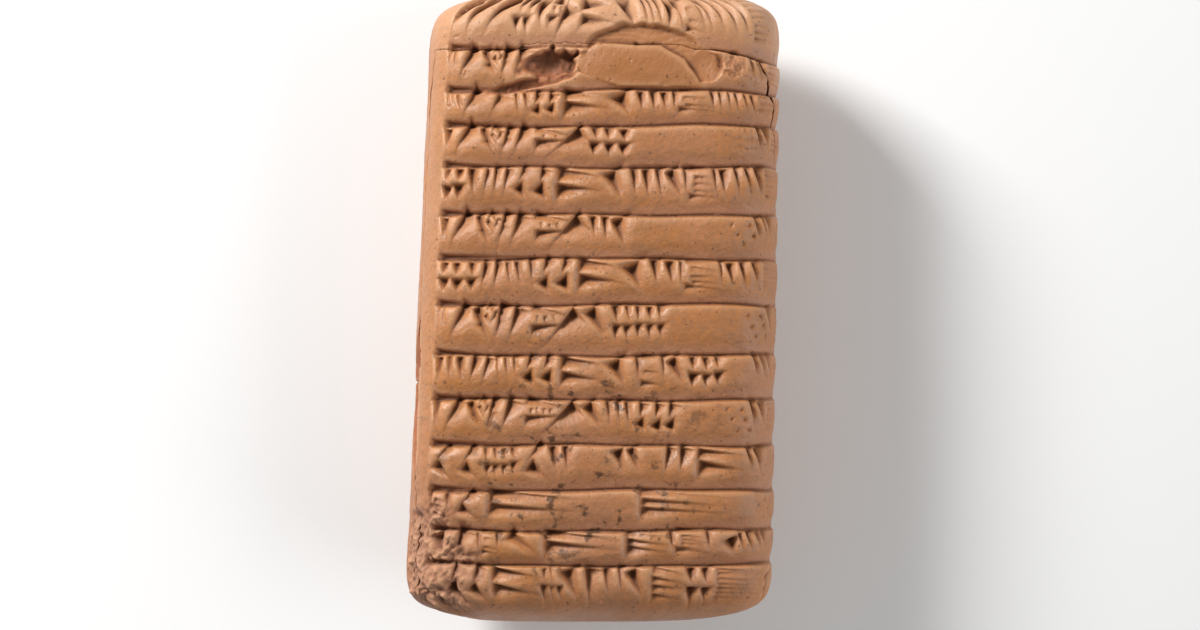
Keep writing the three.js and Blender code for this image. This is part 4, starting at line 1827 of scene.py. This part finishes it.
def make_specks() -> bpy.types.NodeTree:
    """Scattered spots: the cells of a random lattice whose own draw is under Share.

    Returns:
        The group.
    """
    inputs = {"Vector": "Vector", "Scale": "Float", "Radius": "Float", "Share": "Float"}
    graph, sockets = new_group("specks", inputs, "Mask")
    cells = graph.add(
        "ShaderNodeTexVoronoi", {"Vector": sockets["Vector"], "Scale": sockets["Scale"]}
    )
    draw = graph.add("ShaderNodeSeparateColor", {"Color": cells.outputs["Color"]}).outputs
    size = graph.math("MULTIPLY", sockets["Radius"], graph.math("ADD", draw["Green"], 0.4))
    inside = graph.math("SUBTRACT", size, cells.outputs["Distance"])
    soft = graph.math("DIVIDE", inside, graph.math("MULTIPLY", size, 0.5), clamp=True)
    picked = graph.math("LESS_THAN", draw["Red"], sockets["Share"])
    graph.set(sockets[""], graph.math("MULTIPLY", soft, picked))
    return graph.tree


def make_stroke() -> bpy.types.NodeTree:
    """A straight brush stroke: the distance to a segment, 1 within the half width.

    Returns:
        The group.
    """
    inputs = {"Vector": "Vector", "Start": "Vector", "End": "Vector", "Half Width": "Float"}
    graph, sockets = new_group("stroke", inputs, "Mask")
    way = graph.vector("SUBTRACT", sockets["End"], sockets["Start"])
    place = graph.vector("SUBTRACT", sockets["Vector"], sockets["Start"])
    along = graph.vector("DOT_PRODUCT", place, way, "Value")
    length = graph.vector("DOT_PRODUCT", way, way, "Value")
    share = graph.math("DIVIDE", along, length, clamp=True)
    gap = graph.vector("DISTANCE", place, graph.scaled(way, share), "Value")
    taper = graph.math("SUBTRACT", 1.15, graph.math("MULTIPLY", share, 0.6))
    width = graph.math("MULTIPLY", sockets["Half Width"], taper)
    inside = graph.math("SUBTRACT", width, gap)
    edge = graph.math("MULTIPLY", sockets["Half Width"], 0.3)
    graph.set(sockets[""], graph.math("DIVIDE", inside, edge, clamp=True))
    return graph.tree


def make_grain() -> bpy.types.NodeTree:
    """Fine height of clay: noise in six sizes, each half as large.

    Returns:
        The group.
    """
    graph, sockets = new_group("grain", {"Vector": "Vector", "Scale": "Float"}, "Height")
    noise = graph.noise(sockets["Vector"], sockets["Scale"], 5.0, 0.6)
    graph.set(sockets[""], noise["Fac"])
    return graph.tree


@dataclass(frozen=True)
class Effects:
    """Shared effects, each a node group that gives one mask or height."""

    mottling: bpy.types.NodeTree = field(default_factory=make_mottling)
    specks: bpy.types.NodeTree = field(default_factory=make_specks)
    stroke: bpy.types.NodeTree = field(default_factory=make_stroke)
    grain: bpy.types.NodeTree = field(default_factory=make_grain)


@dataclass(frozen=True)
class Painter:
    """Works out the look of one material, with the help of the shared effects."""

    name: str
    effects: Effects

    @cached_property
    def material(self) -> bpy.types.Material:
        """Make the material.

        Returns:
            The material, with its nodes switched on.
        """
        material = bpy.data.materials.new(self.name)
        material.use_nodes = True
        return material

    @cached_property
    def graph(self) -> Graph:
        """Its node tree."""
        return Graph(self.material.node_tree)

    @cached_property
    def shader(self) -> bpy.types.Node:
        """Its Principled BSDF."""
        return self.material.node_tree.nodes["Principled BSDF"]

    @cached_property
    def place(self) -> Socket:
        """The object's own coordinates."""
        return self.graph.add("ShaderNodeTexCoord", {}).outputs["Object"]

    def mottled(self, mottle: Mottle, place: Socket | None = None) -> Socket:
        """Mask of mottling, at the object's own coordinates or at the place given."""
        sizes = {"Scale": mottle.scale, "Low": mottle.low, "High": mottle.high}
        return self.graph.group(self.effects.mottling, {"Vector": place or self.place} | sizes)


@dataclass(frozen=True)
class InkMark:
    """One short brush stroke on the left edge, from point to point in metres across x."""

    start: tuple[float, float]
    end: tuple[float, float]
    half_width: float = 0.00042


@dataclass(frozen=True)
class FiredClay:
    """Matt fired clay: tan with ochre and pink patches, dark in its hollows with dirt and painted
    shade, rough where broken.
    """

    tan: Colour = (0.44, 0.175, 0.061)
    pink: Layer = Layer((0.44, 0.184, 0.083), 0.8, Mottle(60.0, 0.45, 0.62))
    ochre: Layer = Layer((0.44, 0.166, 0.043), 0.85, Mottle(95.0, 0.42, 0.68))
    mealy: Layer = Layer((0.28, 0.138, 0.066), 0.46, Mottle(1400.0, 0.44, 0.64))
    cloudy: Layer = Layer((0.28, 0.138, 0.066), 0.45, Mottle(210.0, 0.5, 0.75))
    # Painted highlight on the head and the left margin, and a paler stretch of the left edge.
    highlight_and_pale: Layer = Layer((0.6, 0.33, 0.18), 0.7)
    stain: Layer = Layer((0.26, 0.074, 0.015), 0.85)
    # Painted shade on the feet of the rows.
    painted_foot_shade: Layer = Layer((0.4, 0.18, 0.095), 0.75)
    flake: Layer = Layer((0.38, 0.15, 0.049))
    crumbled: Layer = Layer((0.41, 0.212, 0.125), 0.7)
    # Pale ridges: wear and a painted highlight.
    ridge_wear_and_highlight: Layer = Layer((0.7, 0.38, 0.2), 0.35)
    # Dirt and painted shade in the hollows, and painted shadow in the recess.
    hollow: Layer = Layer((0.12, 0.04, 0.014), 0.75)
    crust: Layer = Layer((0.62, 0.47, 0.34), 1.0, Mottle(900.0, 0.4, 0.6))
    soot: Layer = Layer((0.075, 0.03, 0.011), 0.85, Mottle(420.0, 0.58, 0.66))
    speck: Layer = Layer((0.08, 0.034, 0.014), 0.6)
    ink: Layer = Layer((0.02, 0.014, 0.012), 0.93)
    fresh_break: Colour = (0.3, 0.088, 0.032)
    dusty_break: Colour = (0.34, 0.14, 0.065)
    broken_share: float = 0.88
    crumbs: Mottle = Mottle(700.0, 0.45, 0.7)
    smears: Mottle = Mottle(160.0, 0.35, 0.65)
    specks: tuple[Specks, ...] = (
        Specks(330.0, 0.09, 0.14),
        Specks(800.0, 0.19, 0.17),
        Specks(1500.0, 0.27, 0.2),
    )
    handled: Span = (0.4, 0.55)
    rougher_breaks: float = 0.3
    ink_shine: float = 0.093
    grain_scale: float = 1700.0
    dent_scale: float = 430.0
    dents: float = 2.2
    grain_height: float = 0.00013
    bump_strength: float = 0.8
    shake: float = 0.0009
    shake_scale: float = 1100.0


@dataclass(frozen=True)
class ClayPainter(Painter):
    """Works out the look of the clay and of the ink marks on its left edge."""

    clay: FiredClay
    marks: tuple[InkMark, ...]

    def build(self) -> bpy.types.Material:
        """Make the material.

        Returns:
            The material.
        """
        graph, shader, clay = self.graph, self.shader, self.clay
        inked = self.inked()
        colour = self.spotted(self.wear_and_painted_light(self.ground()))
        graph.set(shader.inputs["Base Color"], graph.lay(colour, clay.ink, inked))
        graph.set(shader.inputs["Roughness"], self.roughness(inked))
        grain, dents = (
            graph.group(self.effects.grain, {"Vector": self.place, "Scale": scale})
            for scale in (clay.grain_scale, clay.dent_scale)
        )
        height = graph.math("ADD", grain, graph.math("MULTIPLY", dents, clay.dents))
        relief = {"Strength": clay.bump_strength, "Distance": clay.grain_height}
        bump = graph.add("ShaderNodeBump", {"Height": height} | relief)
        graph.set(shader.inputs["Normal"], bump.outputs["Normal"])
        shader.inputs["Specular IOR Level"].default_value = 0.5
        return self.material

    def ground(self) -> Socket:
        """Colour sound clay: tan, with pink patches, ochre streaks and greyer clouds.

        Returns:
            The colour.
        """
        graph, clay = self.graph, self.clay
        stretch = {"Vector": self.place, "Scale": (1.0, 0.55, 1.0)}
        streaked = graph.add("ShaderNodeMapping", stretch).outputs["Vector"]
        colour = graph.lay(clay.tan, clay.pink, self.mottled(clay.pink.patches))
        colour = graph.lay(colour, clay.ochre, self.mottled(clay.ochre.patches, streaked))
        colour = graph.lay(colour, clay.mealy, self.mottled(clay.mealy.patches))
        return graph.lay(colour, clay.cloudy, self.mottled(clay.cloudy.patches))

    def wear_and_painted_light(self, colour: Socket) -> Socket:
        """Lay on what time has done, and painted light: painted highlight on the head and the left
        margin and a paler stretch of the left edge, stained parts, painted shade at the feet of the
        rows, breaks, ridges worn and given a painted highlight, hollows with dirt and painted shade,
        and crust.

        Args:
            colour: Colour of sound clay.

        Returns:
            The colour.
        """
        graph, clay = self.graph, self.clay
        cavity_and_shade = graph.attribute("cavity_and_shade")
        # Painted highlight on the head and the left margin, and a paler stretch of the left edge.
        colour = graph.lay(colour, clay.highlight_and_pale, graph.attribute("highlight_and_pale"))
        colour = graph.lay(colour, clay.stain, graph.attribute("stain"))
        # Painted shade where the feet of the rows slope away from the light.
        colour = graph.lay(colour, clay.painted_foot_shade, graph.attribute("foot_shade"))
        colour = graph.lay(colour, clay.flake, graph.attribute("flake"))
        crumbs = self.mottled(clay.crumbs)
        rough_break = graph.blend(crumbs, clay.fresh_break, clay.dusty_break)
        broken = graph.math("MULTIPLY", graph.attribute("broken"), clay.broken_share)
        colour = graph.blend(broken, colour, rough_break)
        colour = graph.lay(colour, clay.crumbled, graph.attribute("crumbled"))
        # Pale ridges: wear and a painted highlight.
        colour = graph.lay(colour, clay.ridge_wear_and_highlight, graph.range(cavity_and_shade, 0.5, 0.2))
        # Dark hollows: dirt and painted shade, with painted shadow in the upper part of the recess.
        colour = graph.lay(colour, clay.hollow, graph.range(cavity_and_shade, 0.52, 0.95))
        dust = self.mottled(clay.crust.patches)
        return graph.lay(colour, clay.crust, graph.math("MULTIPLY", graph.attribute("crust"), dust))

    @cached_property
    def shaken(self) -> Socket:
        """Each place moved a little by noise, so that spots and ink have ragged outlines.

        Returns:
            The place.
        """
        wander = self.graph.noise(self.place, self.clay.shake_scale, 3.0, 0.5)["Color"]
        centred = self.graph.vector("SUBTRACT", wander, (0.5, 0.5, 0.5))
        step = self.graph.scaled(centred, self.clay.shake)
        return self.graph.vector("ADD", self.place, step)

    def spotted(self, colour: Socket) -> Socket:
        """Lay on soot and specks.

        Args:
            colour: Colour of the worn clay, with its painted highlight and shade.

        Returns:
            The colour.
        """
        smudge = self.mottled(self.clay.soot.patches)
        sooted = self.graph.math("MULTIPLY", smudge, self.graph.attribute("soot"))
        colour = self.graph.lay(colour, self.clay.soot, sooted)
        for spots in self.clay.specks:
            sizes = {"Scale": spots.scale, "Radius": spots.radius, "Share": spots.share}
            mask = self.graph.group(self.effects.specks, {"Vector": self.shaken} | sizes)
            colour = self.graph.lay(colour, self.clay.speck, mask)
        return colour

    def inked(self) -> Socket:
        """Mask of the ink, which lies on the left edge only.

        Returns:
            The mask.
        """
        graph = self.graph
        across = graph.add("ShaderNodeSeparateXYZ", {"Vector": self.place}).outputs["X"]
        left = graph.math("LESS_THAN", across, LEFT_EDGE)
        flat = graph.vector("MULTIPLY", self.shaken, (0.0, 1.0, 1.0))
        mask = 0.0
        for mark in self.marks:
            stroke = {"Vector": flat, "Half Width": mark.half_width}
            stroke |= {"Start": (0.0, *mark.start), "End": (0.0, *mark.end)}
            mask = graph.math("MAXIMUM", mask, graph.group(self.effects.stroke, stroke))
        return graph.math("MULTIPLY", mask, left)

    def roughness(self, inked: Socket) -> Socket:
        """Smooth where handled, matt in breaks and hollows.

        Args:
            inked: Mask of the ink.

        Returns:
            The roughness.
        """
        graph, clay = self.graph, self.clay
        handled = graph.range(self.mottled(clay.smears), 0.0, 1.0, clay.handled)
        hollow = graph.range(graph.attribute("cavity_and_shade"), 0.5, 0.9)
        rough = graph.math("MAXIMUM", graph.attribute("broken"), hollow)
        rough = graph.math("MULTIPLY", rough, clay.rougher_breaks)
        worn = graph.math("ADD", handled, rough, clamp=True)
        return graph.math("SUBTRACT", worn, graph.math("MULTIPLY", inked, clay.ink_shine))


@dataclass(frozen=True)
class PaperPainter(Painter):
    """Works out the look of the pale, matt floor."""

    light: Colour = (0.93, 0.93, 0.925)
    dark: Colour = (0.9, 0.9, 0.895)

    def build(self) -> bpy.types.Material:
        """Make the material, with a trace of mottling.

        Returns:
            The material.
        """
        clouds = self.mottled(Mottle(6.0, 0.3, 0.7))
        colour = self.graph.blend(clouds, self.light, self.dark)
        self.graph.set(self.shader.inputs["Base Color"], colour)
        self.shader.inputs["Roughness"].default_value = 0.9
        self.shader.inputs["Specular IOR Level"].default_value = 0.1
        return self.material


# ---- Studio ----


@dataclass(frozen=True)
class Lamp:
    """A square area light, placed about the tablet: degrees round from +X and up, and metres."""

    name: str
    azimuth: float
    elevation: float
    distance: float
    size: float
    power: float

    def build(self) -> None:
        """Hang the light so that it faces the tablet."""
        around, up = np.radians(self.azimuth), np.radians(self.elevation)
        way = (np.cos(up) * np.cos(around), np.cos(up) * np.sin(around), np.sin(up))
        data = bpy.data.lights.new(self.name, "AREA")
        data.size = self.size
        data.energy = self.power
        lamp = bpy.data.objects.new(self.name, data)
        lamp.location = self.distance * Vector(way)
        lamp.rotation_euler = (-Vector(way)).to_track_quat("-Z", "Y").to_euler()
        bpy.context.scene.collection.objects.link(lamp)


@dataclass(frozen=True)
class Studio:
    """A pale floor, soft light and a camera that looks straight down on the obverse."""

    floor_half: float = 1.5
    camera_place: tuple[float, float, float] = (0.0011, -0.0012, 0.531)
    lens: float = 100.0
    sensor: float = 36.0
    nearest: float = 0.01
    sky: float = 0.23
    lamps: tuple[Lamp, ...] = (
        Lamp("key", 136.0, 31.0, 0.62, 0.18, 5.0),
        Lamp("fill", -14.0, 27.0, 1.1, 0.8, 6.6),
    )

    def build(self, effects: Effects) -> None:
        """Make the floor, the lights, the world and the camera.

        Args:
            effects: The shared node groups.
        """
        self.lay_floor(PaperPainter("pale_floor", effects).build())
        for lamp in self.lamps:
            lamp.build()
        scene = bpy.context.scene
        world = bpy.data.worlds.new("studio")
        world.use_nodes = True
        sky = world.node_tree.nodes["Background"]
        sky.inputs["Strength"].default_value = self.sky
        sky.inputs["Color"].default_value = (1.0, 1.0, 1.0, 1.0)
        scene.world = world
        scene.view_settings.view_transform = "Standard"
        self.set_camera()

    def lay_floor(self, paper: bpy.types.Material) -> None:
        """Lay a square floor under the tablet.

        Args:
            paper: Its material.
        """
        half = self.floor_half
        corners = [(-half, -half, 0.0), (half, -half, 0.0), (half, half, 0.0), (-half, half, 0.0)]
        mesh = bpy.data.meshes.new("floor")
        mesh.from_pydata(corners, [], [(0, 1, 2, 3)])
        mesh.materials.append(paper)
        floor = bpy.data.objects.new("floor", mesh)
        bpy.context.scene.collection.objects.link(floor)

    def set_camera(self) -> None:
        """Hang the camera over the tablet, looking down, with the head at the top."""
        data = bpy.data.cameras.new("camera")
        data.lens = self.lens
        data.sensor_width = self.sensor
        data.clip_start = self.nearest
        camera = bpy.data.objects.new("camera", data)
        camera.location = self.camera_place
        bpy.context.scene.collection.objects.link(camera)
        bpy.context.scene.camera = camera


# ---- The whole tablet ----


# Ink strokes as y and z of the start, then of the end.
INK_STROKES = (
    (29.4, 2.6, 27.4, -2.6),
    (26.2, 2.2, 24.4, -3.4),
    (21.2, -0.6, 21.0, -1.0),
    (17.6, 2.4, 16.6, -3.2),
    (14.8, 1.2, 13.2, -3.8),
    (9.8, -0.8, 9.6, -1.2),
    (6.4, 1.6, 5.2, -3.8),
    (3.2, 0.8, 0.4, -4.4),
)


@dataclass
class Tablet:
    """The three fragments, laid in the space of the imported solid."""

    spacing: float = 0.15
    pieces: list[bpy.types.Object] = field(default_factory=list)

    def build(self, effects: Effects) -> None:
        """Build and dress every fragment, and set them in the frame.

        Args:
            effects: The shared node groups.
        """
        body = Body()
        clay = Clay(Canvas(body), Cracks(body))
        log.info("pressed %d strokes", clay.build())
        fragments = (
            UpperBack(clay, "upper_back", 196_000, self.spacing),
            FrontSlab(clay, "front_slab", 198_000, self.spacing),
            LowerBack(clay, "lower_back", 150_000, self.spacing),
        )
        self.pieces = [fragment.build() for fragment in fragments]
        marks = self.ink_marks(self.seat())
        finish = ClayPainter("fired_clay", effects, FiredClay(), marks).build()
        for piece in self.pieces:
            piece.data.materials.append(finish)
            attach(piece, BODY)
            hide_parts(NODE)

    def ink_marks(self, move: Array) -> tuple[InkMark, ...]:
        """Generic ink strokes and dots on the left edge, in metres, moved with the meshes."""
        ends = np.array(INK_STROKES).reshape(-1, 2, 2) * MM + move[1:]
        return tuple(InkMark(tuple(start), tuple(end)) for start, end in ends)

    def seat(self) -> Array:
        """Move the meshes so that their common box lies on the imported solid's box.

        Returns:
            How far they moved.
        """
        places = []
        for piece in self.pieces:
            place = np.empty(3 * len(piece.data.vertices))
            piece.data.vertices.foreach_get("co", place)
            places.append(place.reshape(-1, 3))
        low = np.min([place.min(axis=0) for place in places], axis=0)
        high = np.max([place.max(axis=0) for place in places], axis=0)
        cad_low, cad_high = (np.array(corner) for corner in CAD_BOX)
        move = 0.5 * (cad_low + cad_high - low - high)
        move[2] = cad_low[2] - low[2]
        for piece, place in zip(self.pieces, places):
            piece.data.vertices.foreach_set("co", (place + move).ravel())
            piece.data.update()
        size = high - low
        log.info("moved by %s mm, size %s mm", np.round(move / MM, 2), np.round(size / MM, 2))
        return move


def main() -> None:
    """Build the tablet and the studio."""
    logging.basicConfig(level=logging.INFO, format="%(name)s: %(message)s", force=True)
    effects = Effects()
    Tablet().build(effects)
    Studio().build(effects)


if __name__ == "__main__":
    main()
